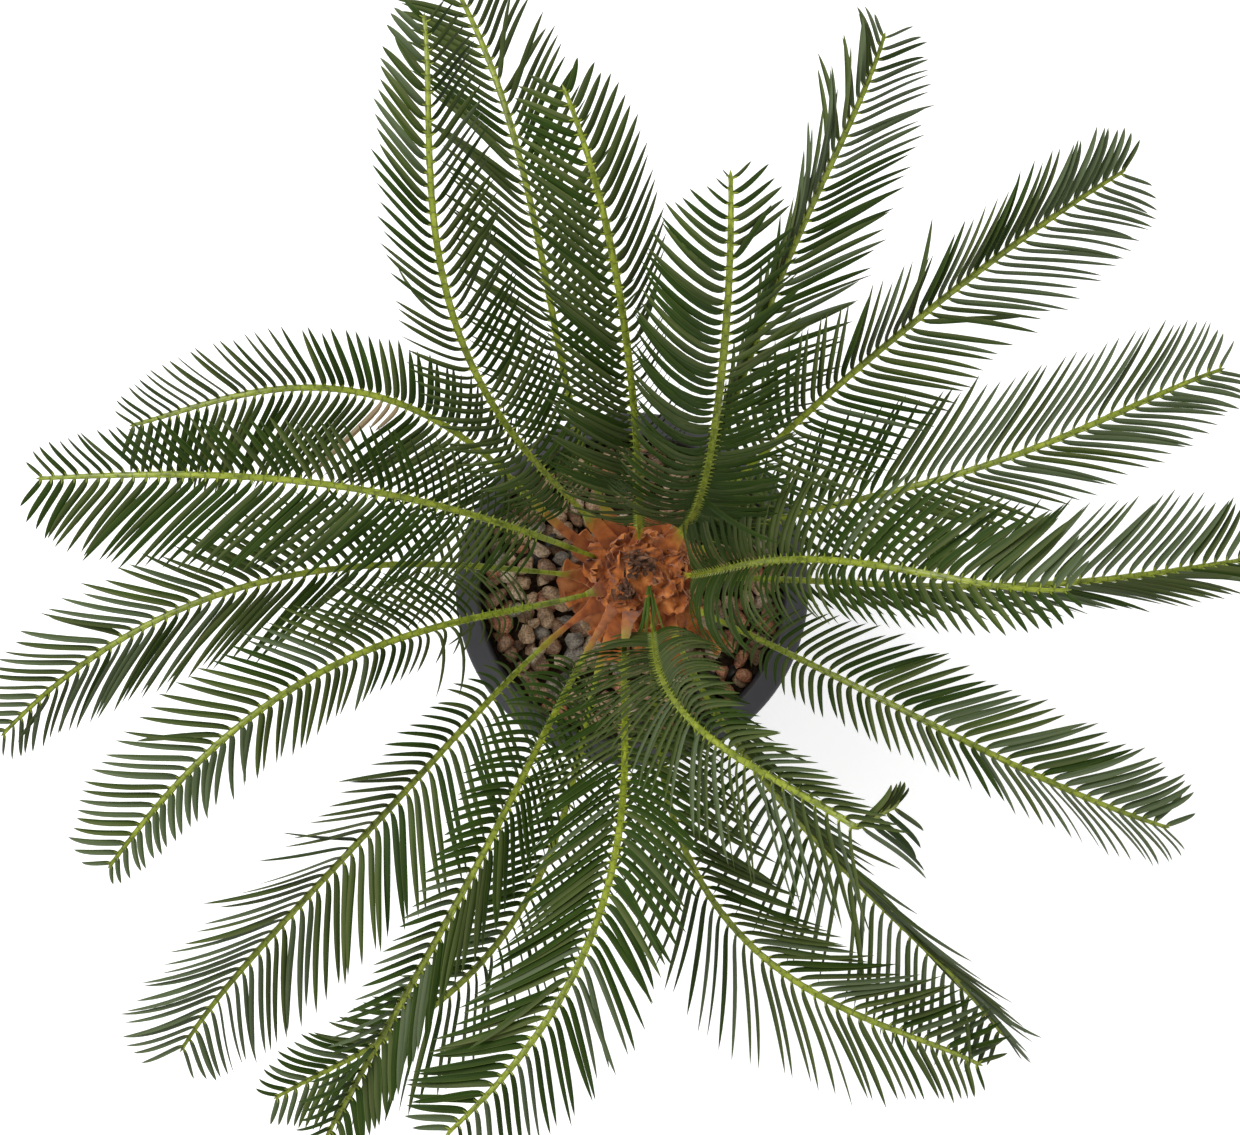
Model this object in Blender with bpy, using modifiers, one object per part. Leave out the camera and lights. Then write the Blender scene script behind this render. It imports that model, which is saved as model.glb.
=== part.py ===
"""Potted sago palm, the artificial kind: 21 arching fronds on a short woolly trunk in a round pot.

Metres, +Z up. The origin is the middle of the pot's flat underside, -Y is the front, and +X is to
the right when the plant is looked at from the front. Each frond is a tapering rachis that starts in
the crown and is bent by a rule, with leaflets drawn out of its two side faces. The leaflets here are
fewer and broader than the real ones, but they reach as far and leave the same gaps.
"""
import math
import random

import bpy
import bmesh
from mathutils import Matrix, Vector
from mathutils.bvhtree import BVHTree

GAP = 0.0003                    # clearance between pieces that touch

# Pot: a tapering round planter with a broad flat rim
POT_HEIGHT = 0.270
RIM_RADIUS = 0.150
RIM_WIDTH = 0.0195
RIM_DEPTH = 0.030
RIM_ROUNDING = 0.003
WALL_TOP_RADIUS = 0.141
FOOT_RADIUS = 0.108
FOOT_ROUNDING = 0.006
WALL_THICKNESS = 0.006
FLOOR_THICKNESS = 0.010
LEDGE_DROP = 0.012              # the inner wall is upright from here below the rim band
POT_SEGMENTS = 48

# What fills the pot
SOIL_TOP = 0.234
BED_TOP = 0.244
STONE_SIZE = Vector((0.0125, 0.0105, 0.0080))
STONE_RINGS = ((0.061, 11), (0.085, 15), (0.109, 20))    # radius of the ring, stones in it
STONE_STRAY = 0.15              # of the spacing, along the ring
STONE_HEIGHTS = (-0.001, 0.003) # of a stone's middle above the bed
STONE_KNOBS = (0.88, 1.08)      # how uneven its surface is
STONE_SIZES = (0.9, 1.1)
STONE_TILT = 0.3
STONE_SEED = 7

# Trunk: a short stub that leans from the pot's axis to the middle of the crown
TRUNK_FOOT = SOIL_TOP + GAP
TRUNK_TOP = 0.362
CROWN_OFFSET = Vector((0.007, 0.012))
TRUNK_PROFILE = ((0.044, 0.0), (0.040, 0.10), (0.037, 0.28), (0.039, 0.50), (0.039, 0.66),
                 (0.034, 0.80), (0.025, 0.91), (0.013, 0.98))
TRUNK_SEGMENTS = 32

# Cut leaf bases, the short broad straps left round the trunk: bearing in degrees, how far from the
# trunk's axis it ends, and the angle it rises at
LEAF_BASE_WIDTH = 0.015
LEAF_BASE_THICKNESS = 0.003
LEAF_BASE_HEIGHT = 0.272
LEAF_BASES = ((140, 0.064, 12), (113, 0.060, 25), (65, 0.066, 25), (20, 0.058, 15), (-26, 0.064, 12),
              (-37, 0.092, 3), (-62, 0.088, 3), (-85, 0.060, 10), (-107, 0.070, 6), (-128, 0.060, 10),
              (-166, 0.062, 10), (168, 0.064, 12))
LEAF_BASE_ROOT = 0.024          # where it starts inside the trunk, before it is cut clear
LEAF_BASE_CURL = 0.006          # what its end turns up by
LEAF_BASE_WAIST = 0.35          # what it narrows by halfway
LEAF_BASE_CUTS = 3              # across it, for the bend

# Rings in the crown that the fronds spring from: radius and height of the root point
OUTER_LOW = (0.030, 0.300)
OUTER_HIGH = (0.030, 0.318)
INNER_LOW = (0.024, 0.330)
INNER_HIGH = (0.018, 0.340)

# Fronds: ring, bearing round the crown, length of the rachis, how much of that is bare petiole,
# heading in plan at the root, at one third, at two thirds and at the tip, rise above level at the
# root, halfway and at the tip, longest leaflet, and how far the leaflets on its left and right
# spread (1 is full, less is bundled up). Angles are in degrees, anticlockwise from +X.
FRONDS = {
    "frond_01": (INNER_LOW, 136, 0.517, 0.085, (126, 129, 99, 96), (69, 37, -1), 0.068, (1.0, 1.0)),
    "frond_02": (OUTER_HIGH, 116, 0.508, 0.080, (126, 102, 104, 119), (50, 18, -25), 0.088, (1.0, 1.0)),
    "frond_03": (INNER_HIGH, 94, 0.502, 0.032, (91, 94, 99, 113), (87, 54, 5), 0.082, (1.0, 1.0)),
    "frond_04": (INNER_HIGH, 46, 0.535, 0.045, (43, 76, 86, 93), (87, 70, 24), 0.084, (1.0, 1.0)),
    "frond_05": (OUTER_LOW, 49, 0.482, 0.070, (50, 71, 66, 73), (50, 18, -20), 0.094, (0.55, 1.0)),
    "frond_06": (OUTER_HIGH, 31, 0.500, 0.070, (56, 43, 38, 31), (48, 18, -20), 0.090, (0.75, 1.0)),
    "frond_07": (OUTER_LOW, 13, 0.498, 0.080, (45, 13, 21, 18), (48, 16, -20), 0.094, (1.0, 0.85)),
    "frond_08": (OUTER_HIGH, -9, 0.485, 0.080, (7, -3, 4, 8), (46, 14, -22), 0.092, (1.0, 0.45)),
    "frond_09": (INNER_HIGH, -3, 0.445, 0.034, (-2, 13, -8, 4), (75, 59, -11), 0.088, (1.0, 1.0)),
    "frond_10": (OUTER_LOW, -32, 0.469, 0.085, (-25, -26, -26, -17), (50, 18, -20), 0.092, (1.0, 0.80)),
    "frond_11": (INNER_HIGH, -64, 0.520, 0.040, (-86, -72, -31, -50), (78, 70, 15), 0.080, (1.0, 1.0)),
    "frond_12": (OUTER_HIGH, -55, 0.467, 0.075, (-69, -55, -44, -55), (50, 18, -20), 0.090, (0.30, 1.0)),
    "frond_13": (OUTER_LOW, -88, 0.525, 0.075, (-68, -79, -36, -30), (52, 20, -20), 0.090, (1.0, 0.70)),
    "frond_14": (INNER_LOW, -103, 0.525, 0.085, (-118, -89, -112, -137), (70, 38, -5), 0.088, (1.0, 1.0)),
    "frond_15": (OUTER_HIGH, -112, 0.533, 0.100, (-130, -104, -137, -146), (50, 16, -22), 0.090, (1.0, 1.0)),
    "frond_16": (INNER_LOW, -132, 0.535, 0.115, (-128, -117, -119, -117), (65, 28, -12), 0.088, (1.0, 0.85)),
    "frond_17": (OUTER_LOW, -148, 0.530, 0.115, (-151, -133, -133, -122), (50, 16, -20), 0.096, (1.0, 0.75)),
    "frond_18": (INNER_LOW, -162, 0.515, 0.115, (-155, -168, -145, -129), (62, 26, -18), 0.096, (0.72, 1.0)),
    "frond_19": (OUTER_LOW, 178, 0.549, 0.120, (177, 180, 203, 223), (48, 14, -22), 0.096, (0.85, 1.0)),
    "frond_20": (OUTER_HIGH, 158, 0.506, 0.100, (160, 164, 176, 182), (62, 28, -15), 0.086, (1.0, 1.0)),
    "frond_21": (OUTER_LOW, 142, 0.465, 0.090, (168, 137, 177, 192), (55, 22, -15), 0.088, (1.0, 0.80)),
}
# Petioles whose foot leans out of the crown before the rachis rises: how long that foot is
LEANING_FEET = {"frond_01": 0.045, "frond_03": 0.027, "frond_04": 0.040, "frond_09": 0.028,
                "frond_11": 0.036}
FOOT_RISE = 35                  # of such a foot, in degrees
# One rachis is folded near its tip: where along it, how far it turns, and how steeply it then dives
FOLDED_FROND = "frond_11"
FOLD_AT = 0.90
FOLD_TURN = 50
FOLD_DIVE = -50

# Rachis and leaflets
RIB_WIDTH = 0.0056              # across the rachis where the blade starts
RIB_DEPTH = 0.0036
RIB_TAPER = 0.65                # what is left of that at the tip
PETIOLE_FLARE = (0.0150, 0.0030)    # what the petiole's foot is wider and deeper by
PETIOLE_FLARE_LENGTH = 0.018
PETIOLE_STATIONS = (0.0, 0.8, 1.8)  # where the flare has a section, in flare lengths
LEAFLETS_PER_SIDE = 17
LEAFLET_ROOT = 0.0048           # length of rachis that a leaflet stands on
LEAFLET_WIDTH = 0.0130
NARROW_BELOW = 0.039            # a leaflet shorter than this is narrower too
NARROW_LEAST = 0.35             # the width that a vanishing one would still have
LEAFLET_THICKNESS = 0.0013
LEAFLET_BELLY = 0.42            # widest point, along the leaflet
LEAFLET_ANGLES = (68, 41, 52)   # to the rachis at the first leaflet, halfway and at the tip
LEAFLET_LIFT = 8                # above the frond's plane where it leaves the rachis
LEAFLET_FALL = -8               # and beyond its widest point
LEAFLET_SWEEP = 9               # how far it curves towards the frond's tip
BUNDLED_LIFT = 60               # what a leaflet rises by as its side closes up
BUNDLED_WIDTH = 0.3             # share of its width that a wholly closed up leaflet shows
TIP_RUN = 0.31                  # share of the blade over which the leaflets shorten to the tip
TIP_POWER = 0.90
TIP_LEAST = 0.20
FOOT_RUN = 0.28                 # and over which they grow from the foot
FOOT_LEAST = 0.42
CLEARANCE = 0.0008              # kept free round a leaflet
CLEARANCE_START = 0.12          # how much of it there is at the leaflet's root
SIDE_CLEARANCE = 3              # times that beside its edges
OWN_CLEARANCE = 0.0002          # kept free towards the frond's own rachis and leaflets
DODGES = ((1.0, 0), (1.0, 14), (1.0, -14), (1.0, 28), (1.0, -28), (0.8, 0), (0.8, 20), (0.8, -20),
          (0.6, 0), (0.6, 20), (0.6, -20), (0.4, 0), (0.4, 25), (0.4, -25))

OBJECT_NAME = "sago_palm"
CUTTER_COLLECTION = "cutters"


def material(name, colour, roughness):
    """A Principled material with one colour."""
    mat = bpy.data.materials.new(name)
    mat.use_nodes = True
    shader = mat.node_tree.nodes["Principled BSDF"]
    shader.inputs["Base Color"].default_value = (*colour, 1.0)
    shader.inputs["Roughness"].default_value = roughness
    shader.inputs["Metallic"].default_value = 0.0
    mat.diffuse_color = (*colour, 1.0)
    return mat


def collection(name):
    """A collection linked to the scene."""
    made = bpy.data.collections.new(name)
    bpy.context.scene.collection.children.link(made)
    return made


def add_object(name, mesh, mat, home):
    """A mesh object in its collection, with its material."""
    obj = bpy.data.objects.new(name, mesh)
    home.objects.link(obj)
    if mat is not None:
        obj.data.materials.append(mat)
    return obj


def make_cutter(obj):
    """Turn an object into a construction shape that isn't part of the plant."""
    obj.hide_render = True
    obj.display_type = "WIRE"
    return obj


def freeze(obj):
    """Replace an object's mesh by its evaluated one, modifiers applied."""
    bpy.context.view_layer.update()
    evaluated = obj.evaluated_get(bpy.context.evaluated_depsgraph_get())
    mesh = bpy.data.meshes.new_from_object(evaluated)
    old = obj.data
    obj.modifiers.clear()
    obj.data = mesh
    bpy.data.meshes.remove(old)
    return obj


def turned(name, profile, segments, mat, home, closed=False):
    """A profile of (radius, height) points, down the outside, turned about Z."""
    mesh = bpy.data.meshes.new(name)
    points = [(radius, 0.0, height) for radius, height in profile]
    edges = [(i, i + 1) for i in range(len(points) - 1)]
    if closed:
        edges.append((len(points) - 1, 0))
    mesh.from_pydata(points, edges, [])
    obj = add_object(name, mesh, mat, home)
    screw = obj.modifiers.new("turn", "SCREW")
    screw.angle = math.radians(360)
    screw.steps = segments
    screw.render_steps = segments
    screw.use_merge_vertices = True
    screw.merge_threshold = 0.00001
    return obj


def shade(obj):
    """Smooth shading with crisp edges where the surface turns sharply."""
    obj.data.shade_smooth()
    obj.data.set_sharp_from_angle(angle=math.radians(40))
    return obj


def arc(centre, radius, start, end, steps):
    """Points of a rounded corner in a profile, angles in degrees."""
    points = []
    for i in range(steps + 1):
        angle = math.radians(start + (end - start) * i / steps)
        points.append((centre[0] + radius * math.cos(angle), centre[1] + radius * math.sin(angle)))
    return points


def wall_radius(height):
    """Radius of the pot's inner wall at a height."""
    share = height / (POT_HEIGHT - RIM_DEPTH)
    return FOOT_RADIUS + (WALL_TOP_RADIUS - FOOT_RADIUS) * min(share, 1.0) - WALL_THICKNESS


def pot(mat, home):
    """The planter: rounded rim band, tapering wall, flat underside and inner floor."""
    rim_inner = RIM_RADIUS - RIM_WIDTH
    outside = arc((rim_inner + RIM_ROUNDING, POT_HEIGHT - RIM_ROUNDING), RIM_ROUNDING, 180, 90, 2)
    outside += arc((RIM_RADIUS - RIM_ROUNDING, POT_HEIGHT - RIM_ROUNDING), RIM_ROUNDING, 90, 0, 2)
    outside += arc((RIM_RADIUS - RIM_ROUNDING, POT_HEIGHT - RIM_DEPTH + RIM_ROUNDING),
                   RIM_ROUNDING, 0, -90, 1)
    outside.append((WALL_TOP_RADIUS, POT_HEIGHT - RIM_DEPTH))
    outside += arc((FOOT_RADIUS - FOOT_ROUNDING, FOOT_ROUNDING), FOOT_ROUNDING, 0, -90, 2)
    outside.append((0.0, 0.0))
    inside = [(0.0, FLOOR_THICKNESS),
              (wall_radius(FLOOR_THICKNESS), FLOOR_THICKNESS),
              (rim_inner, POT_HEIGHT - RIM_DEPTH - LEDGE_DROP)]
    planter = turned("pot", outside + inside, POT_SEGMENTS, mat, home, closed=True)
    return shade(freeze(planter))


def inner_radius(height):
    """Radius of the space inside the pot at a height, on the straight inner wall."""
    low = (wall_radius(FLOOR_THICKNESS), FLOOR_THICKNESS)
    high = (RIM_RADIUS - RIM_WIDTH, POT_HEIGHT - RIM_DEPTH - LEDGE_DROP)
    share = (height - low[1]) / (high[1] - low[1])
    return low[0] + (high[0] - low[0]) * min(share, 1.0)


def soil(mat, home):
    """The filling, a plain plug that stands on the pot's floor."""
    foot = FLOOR_THICKNESS + GAP
    profile = [(0.0, SOIL_TOP),
               (inner_radius(SOIL_TOP) - GAP, SOIL_TOP),
               (inner_radius(foot) - GAP, foot),
               (0.0, foot)]
    return shade(freeze(turned("soil", profile, POT_SEGMENTS, mat, home)))


def trunk_profile(grow):
    """Profile of the trunk, top to foot, fattened by grow."""
    height = TRUNK_TOP - TRUNK_FOOT
    points = [(0.0, TRUNK_TOP + grow)]
    for radius, share in reversed(TRUNK_PROFILE):
        points.append((radius + grow, TRUNK_FOOT + height * share))
    points[-1] = (points[-1][0], TRUNK_FOOT - grow)
    points.append((0.0, TRUNK_FOOT - grow))
    return points


def axis_at(height):
    """Where the trunk's axis is at a height."""
    share = (height - TRUNK_FOOT) / (OUTER_HIGH[1] - TRUNK_FOOT)
    return CROWN_OFFSET * min(share, 1.0)


def trunk(name, grow, mat, home):
    """The stub, turned and then leant over without tipping its flat foot."""
    obj = freeze(turned(name, trunk_profile(grow), TRUNK_SEGMENTS, mat, home))
    for vertex in obj.data.vertices:
        offset = axis_at(vertex.co.z)
        vertex.co.x += offset.x
        vertex.co.y += offset.y
    return shade(obj)


def pebbles(mat, home, hole):
    """A gravel bed with stones standing half out of it, open round the trunk."""
    rng = random.Random(STONE_SEED)
    stones = collection("stones")
    for radius, count in STONE_RINGS:
        for i in range(count):
            bearing = math.tau * (i + rng.uniform(-STONE_STRAY, STONE_STRAY)) / count
            centre = Vector((radius * math.cos(bearing), radius * math.sin(bearing), BED_TOP))
            centre.z += rng.uniform(*STONE_HEIGHTS)
            bm = bmesh.new()
            bmesh.ops.create_icosphere(bm, subdivisions=1, radius=1.0)
            for vertex in bm.verts:
                vertex.co *= rng.uniform(*STONE_KNOBS)
            size = STONE_SIZE * rng.uniform(*STONE_SIZES)
            turn = Matrix.Rotation(rng.uniform(0, math.tau), 4, "Z")
            tilt = Matrix.Rotation(rng.uniform(-STONE_TILT, STONE_TILT), 4, "X")
            bm.transform(Matrix.Translation(centre) @ turn @ tilt @ Matrix.Diagonal((*size, 1.0)))
            mesh = bpy.data.meshes.new("stone")
            bm.to_mesh(mesh)
            bm.free()
            add_object("stone", mesh, None, stones)
    foot = SOIL_TOP + GAP
    profile = [(0.0, BED_TOP),
               (inner_radius(BED_TOP) - GAP, BED_TOP),
               (inner_radius(foot) - GAP, foot),
               (0.0, foot)]
    bed = freeze(turned("pebbles", profile, POT_SEGMENTS // 2, mat, home))
    union = bed.modifiers.new("stones", "BOOLEAN")
    union.operation = "UNION"
    union.operand_type = "COLLECTION"
    union.collection = stones
    cut = bed.modifiers.new("trunk_hole", "BOOLEAN")
    cut.operation = "DIFFERENCE"
    cut.object = hole
    freeze(bed)
    for stone in list(stones.objects):
        bpy.data.objects.remove(stone)
    bpy.data.collections.remove(stones)
    return bed


def through(values, share):
    """Smooth curve through evenly spaced values (Lagrange's formula), read at share."""
    last = len(values) - 1
    total = 0.0
    for i, value in enumerate(values):
        weight = 1.0
        for j in range(len(values)):
            if j != i:
                weight *= (share * last - j) / (i - j)
        total += value * weight
    return total


class Rib:
    """A rachis: its points, directions and sizes at any share of its length."""

    STEPS = 100

    def __init__(self, name):
        self.name = name
        ring, bearing, length, bare, headings, rises, leaflet, spread = FRONDS[name]
        self.length = length
        self.bare = bare / length
        self.leaflet = leaflet
        self.spread = {1: spread[0], -1: spread[1]}
        self.headings = headings
        self.rises = rises
        self.folded = name == FOLDED_FROND
        self.foot = LEANING_FEET.get(name, 0.0)
        radius, height = ring
        angle = math.radians(bearing)
        axis = axis_at(height)
        start = Vector((axis.x + radius * math.cos(angle), axis.y + radius * math.sin(angle), height))
        self.points = [start]
        for i in range(self.STEPS):
            step = self.direction((i + 0.5) / self.STEPS) * (length / self.STEPS)
            self.points.append(self.points[-1] + step)

    def angles(self, share):
        """Heading and rise in radians."""
        if self.folded and share > FOLD_AT:
            heading = through(self.headings, FOLD_AT) + FOLD_TURN
            return math.radians(heading), math.radians(FOLD_DIVE)
        rise = FOOT_RISE if share * self.length < self.foot else through(self.rises, share)
        return math.radians(through(self.headings, share)), math.radians(rise)

    def direction(self, share):
        """Unit vector along the rachis."""
        heading, rise = self.angles(share)
        return Vector((math.cos(rise) * math.cos(heading), math.cos(rise) * math.sin(heading),
                       math.sin(rise)))

    def point(self, share):
        """Point on the rachis's axis."""
        place = max(0.0, min(share, 1.0)) * self.STEPS
        index = min(int(place), self.STEPS - 1)
        return self.points[index].lerp(self.points[index + 1], place - index)

    def frame(self, share):
        """Directions along the rachis, to its left, and out of the frond's upper face."""
        heading, rise = self.angles(share)
        along = self.direction(share)
        left = Vector((-math.sin(heading), math.cos(heading), 0.0))
        return along, left, along.cross(left)

    def half_size(self, share):
        """Half the rachis's width and depth."""
        taper = 1.0 - (1.0 - RIB_TAPER) * share
        flare = math.exp(-share * self.length / PETIOLE_FLARE_LENGTH)
        width = RIB_WIDTH * taper + PETIOLE_FLARE[0] * flare
        depth = RIB_DEPTH * taper + PETIOLE_FLARE[1] * flare
        return width / 2, depth / 2

    def section(self, share):
        """Four corners: upper left, upper right, lower right, lower left."""
        centre = self.point(share)
        along, left, up = self.frame(share)
        width, depth = self.half_size(share)
        return [centre + left * width + up * depth, centre - left * width + up * depth,
                centre - left * width - up * depth, centre + left * width - up * depth]


def leaflet_length(share):
    """Length of a leaflet, as a share of the frond's longest, at a share of the blade."""
    to_tip = (1.0 - share) / TIP_RUN
    tip = TIP_LEAST + (1.0 - TIP_LEAST) * min(to_tip, 1.0) ** TIP_POWER
    foot = FOOT_LEAST + (1.0 - FOOT_LEAST) * math.sin(math.pi / 2 * min(share / FOOT_RUN, 1.0))
    return min(tip, foot)


def leaflet_rings(rib, place, side, root, blade, scale, tilt):
    """Belly section and tip of a leaflet that stands on the root corners."""
    centre = sum(root, Vector()) / 4
    along, left, up = rib.frame(place)
    outward = left * side
    length = rib.leaflet * leaflet_length(blade) * scale
    spread = rib.spread[side]
    angle = through(LEAFLET_ANGLES, blade) * spread
    closing = BUNDLED_LIFT * (1.0 - spread) + tilt

    def heading(opening, lift):
        opening = math.radians(opening)
        lift = math.radians(lift + closing)
        level = outward * math.cos(lift) + up * math.sin(lift)
        return along * math.cos(opening) + level * math.sin(opening)

    first = heading(angle, LEAFLET_LIFT)
    second = heading(angle - LEAFLET_SWEEP, LEAFLET_FALL)
    belly = centre + first * (length * LEAFLET_BELLY)
    tip = belly + second * (length * (1.0 - LEAFLET_BELLY))
    face = first.cross(along * side).normalized()
    across = face.cross(first).normalized()
    narrow = NARROW_LEAST + (1.0 - NARROW_LEAST) * min(1.0, length / NARROW_BELOW)
    width = LEAFLET_WIDTH / 2 * narrow * (BUNDLED_WIDTH + (1.0 - BUNDLED_WIDTH) * spread)
    thick = LEAFLET_THICKNESS / 2
    ring = []
    for corner in root:
        offset = corner - centre
        forward = 1.0 if offset.dot(along) > 0 else -1.0
        upward = 1.0 if offset.dot(up) > 0 else -1.0
        forward_way = 1.0 if across.dot(along) > 0 else -1.0
        upward_way = 1.0 if face.dot(up) > 0 else -1.0
        ring.append(belly + across * (width * forward * forward_way)
                    + face * (thick * upward * upward_way))
    return ring, tip


def swollen(root, ring, tip, clearance=CLEARANCE):
    """The leaflet's faces with the clearance added, for the test against its neighbours."""
    centre = sum(ring, Vector()) / 4
    upward = (ring[0] - ring[3]).normalized() * clearance
    wide = []
    for i, corner in enumerate(ring):
        sideways = (corner - centre).normalized() * (clearance * SIDE_CLEARANCE)
        wide.append(corner + sideways + (upward if i in (0, 1) else -upward))
    beyond = tip + (tip - centre).normalized() * clearance
    start = [corner.lerp(swell, CLEARANCE_START) for corner, swell in zip(root, wide)]
    points = start + wide + [beyond]
    faces = [(i, (i + 1) % 4, 4 + (i + 1) % 4, 4 + i) for i in range(4)]
    faces += [(4 + i, 4 + (i + 1) % 4, 8) for i in range(4)]
    return points, faces


def stations(rib):
    """Places along a rachis where its section is set: the petiole's, then two to a leaflet."""
    places = [PETIOLE_FLARE_LENGTH * step / rib.length for step in PETIOLE_STATIONS]
    pairs = []
    half = LEAFLET_ROOT / 2 / rib.length
    for i in range(LEAFLETS_PER_SIDE):
        blade = (i + 0.5) / LEAFLETS_PER_SIDE
        place = rib.bare + (1.0 - rib.bare) * blade
        pairs.append((len(places), place, blade))
        places += [place - half, place + half]
    places.append(1.0)
    return places, pairs


def rib_shape(rib):
    """Points and faces of one bare rachis."""
    places = stations(rib)[0]
    points = []
    faces = []
    for place in places:
        points += rib.section(place)
    for i in range(len(places) - 1):
        for side in range(4):
            after = (side + 1) % 4
            faces.append((4 * i + side, 4 * i + after, 4 * i + 4 + after, 4 * i + 4 + side))
    return points, faces


def tree(shapes):
    """Search tree of several shapes together."""
    points = []
    faces = []
    for shape_points, shape_faces in shapes:
        offset = len(points)
        points += shape_points
        faces += [tuple(index + offset for index in face) for face in shape_faces]
    return BVHTree.FromPolygons(points, faces)


def mesh_shape(obj):
    """Points and faces of a mesh object."""
    return ([vertex.co.copy() for vertex in obj.data.vertices],
            [tuple(face.vertices) for face in obj.data.polygons])


def frond(rib, obstacles, mat, home):
    """A rachis with its leaflets drawn out of its side faces. Returns the leaflets' shapes."""
    places, pairs = stations(rib)
    bm = bmesh.new()
    rings = [[bm.verts.new(corner) for corner in rib.section(place)] for place in places]
    sides = []
    for low, high in zip(rings, rings[1:]):
        sides.append([bm.faces.new((low[i], high[i], high[(i + 1) % 4], low[(i + 1) % 4]))
                      for i in range(4)])
    bm.faces.new(rings[0])
    bm.faces.new(reversed(rings[-1]))
    grown = []
    own = [rib_shape(rib)]
    for index, place, blade in reversed(pairs):
        for side, face in ((1, sides[index][3]), (-1, sides[index][1])):
            root = [vertex.co.copy() for vertex in face.verts]
            siblings = tree(own)
            for scale, tilt in DODGES:
                ring, tip = leaflet_rings(rib, place, side, root, blade, scale, tilt)
                shape = swollen(root, ring, tip)
                close = swollen(root, ring, tip, OWN_CLEARANCE)
                if not (BVHTree.FromPolygons(*shape).overlap(obstacles)
                        or BVHTree.FromPolygons(*close).overlap(siblings)):
                    break
            else:
                continue
            grown.append(shape)
            own.append(close)
            belly = bmesh.ops.extrude_discrete_faces(bm, faces=[face])["faces"][0]
            for vertex in belly.verts:
                nearest = min(range(4), key=lambda i: (root[i] - vertex.co).length)
                vertex.co = ring[nearest]
            end = bmesh.ops.extrude_discrete_faces(bm, faces=[belly])["faces"][0]
            bmesh.ops.pointmerge(bm, verts=list(end.verts), merge_co=tip)
    bmesh.ops.recalc_face_normals(bm, faces=bm.faces)
    bmesh.ops.triangulate(bm, faces=bm.faces)
    mesh = bpy.data.meshes.new(rib.name)
    bm.to_mesh(mesh)
    bm.free()
    return add_object(rib.name, mesh, mat, home), grown


def leaf_base(number, bearing, reach, rise, mat, home):
    """A short waisted strap whose end turns up."""
    axis = axis_at(LEAF_BASE_HEIGHT)
    bm = bmesh.new()
    bmesh.ops.create_cube(bm, size=1.0)
    lengthwise = [edge for edge in bm.edges if edge.verts[0].co.x != edge.verts[1].co.x]
    bmesh.ops.subdivide_edges(bm, edges=lengthwise, cuts=LEAF_BASE_CUTS)
    for vertex in bm.verts:
        share = vertex.co.x + 0.5
        vertex.co.x = LEAF_BASE_ROOT + share * (reach - LEAF_BASE_ROOT)
        vertex.co.y *= LEAF_BASE_WIDTH * (1.0 - LEAF_BASE_WAIST * math.sin(math.pi * share))
        vertex.co.z = vertex.co.z * LEAF_BASE_THICKNESS + LEAF_BASE_CURL * share * share
    turn = Matrix.Rotation(math.radians(bearing), 4, "Z")
    tilt = Matrix.Rotation(-math.radians(rise), 4, "Y")
    lift = Matrix.Translation((axis.x, axis.y, LEAF_BASE_HEIGHT))
    bm.transform(lift @ turn @ tilt)
    bmesh.ops.triangulate(bm, faces=bm.faces)
    mesh = bpy.data.meshes.new("leaf_base")
    bm.to_mesh(mesh)
    bm.free()
    return add_object(f"leaf_base_{number:02d}", mesh, mat, home)


def cut_from(obj, cutter):
    """Cut a piece clear of the trunk."""
    cut = obj.modifiers.new("clear_of_trunk", "BOOLEAN")
    cut.operation = "DIFFERENCE"
    cut.object = cutter
    return obj


def main():
    """Build the whole plant."""
    for obj in list(bpy.data.objects):
        bpy.data.objects.remove(obj)
    plant = collection(OBJECT_NAME)
    cutters = collection(CUTTER_COLLECTION)
    leaf_green = material("leaf_green", (0.045, 0.080, 0.022), 0.45)
    felt_orange = material("felt_orange", (0.390, 0.115, 0.030), 0.90)
    stone_tan = material("stone_tan", (0.300, 0.210, 0.130), 0.70)
    soil_brown = material("soil_brown", (0.050, 0.030, 0.018), 0.95)
    pot_grey = material("pot_grey", (0.045, 0.045, 0.050), 0.60)

    planter = pot(pot_grey, plant)
    soil(soil_brown, plant)
    trunk("trunk", 0.0, felt_orange, plant)
    clearance = make_cutter(trunk("trunk_clearance", GAP, None, cutters))
    bed = pebbles(stone_tan, plant, clearance)

    stubs = []
    for number, (bearing, reach, rise) in enumerate(LEAF_BASES, start=1):
        stub = leaf_base(number, bearing, reach, rise, felt_orange, plant)
        stubs.append(cut_from(stub, clearance))

    ribs = [Rib(name) for name in FRONDS]
    fixed = [mesh_shape(planter), mesh_shape(bed), mesh_shape(clearance)]
    fixed += [mesh_shape(stub) for stub in stubs]
    bare = {rib.name: rib_shape(rib) for rib in ribs}
    grown = {}
    for rib in sorted(ribs, key=lambda r: r.rises[1]):
        others = [shape for name, shape in bare.items() if name != rib.name]
        for shapes in grown.values():
            others += shapes
        obj, grown[rib.name] = frond(rib, tree(fixed + others), leaf_green, plant)
        cut_from(obj, clearance)


main()
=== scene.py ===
"""Looks of the artificial sago palm: fine leaflets, felt crown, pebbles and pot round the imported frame.

The fronds repeat the rule of the part's source, with the real number of leaflets. Everything is built
as meshes from arrays, in metres, in the frame of the CAD.
"""
import math

import bmesh
import bpy
import numpy as np
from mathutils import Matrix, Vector, noise


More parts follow.
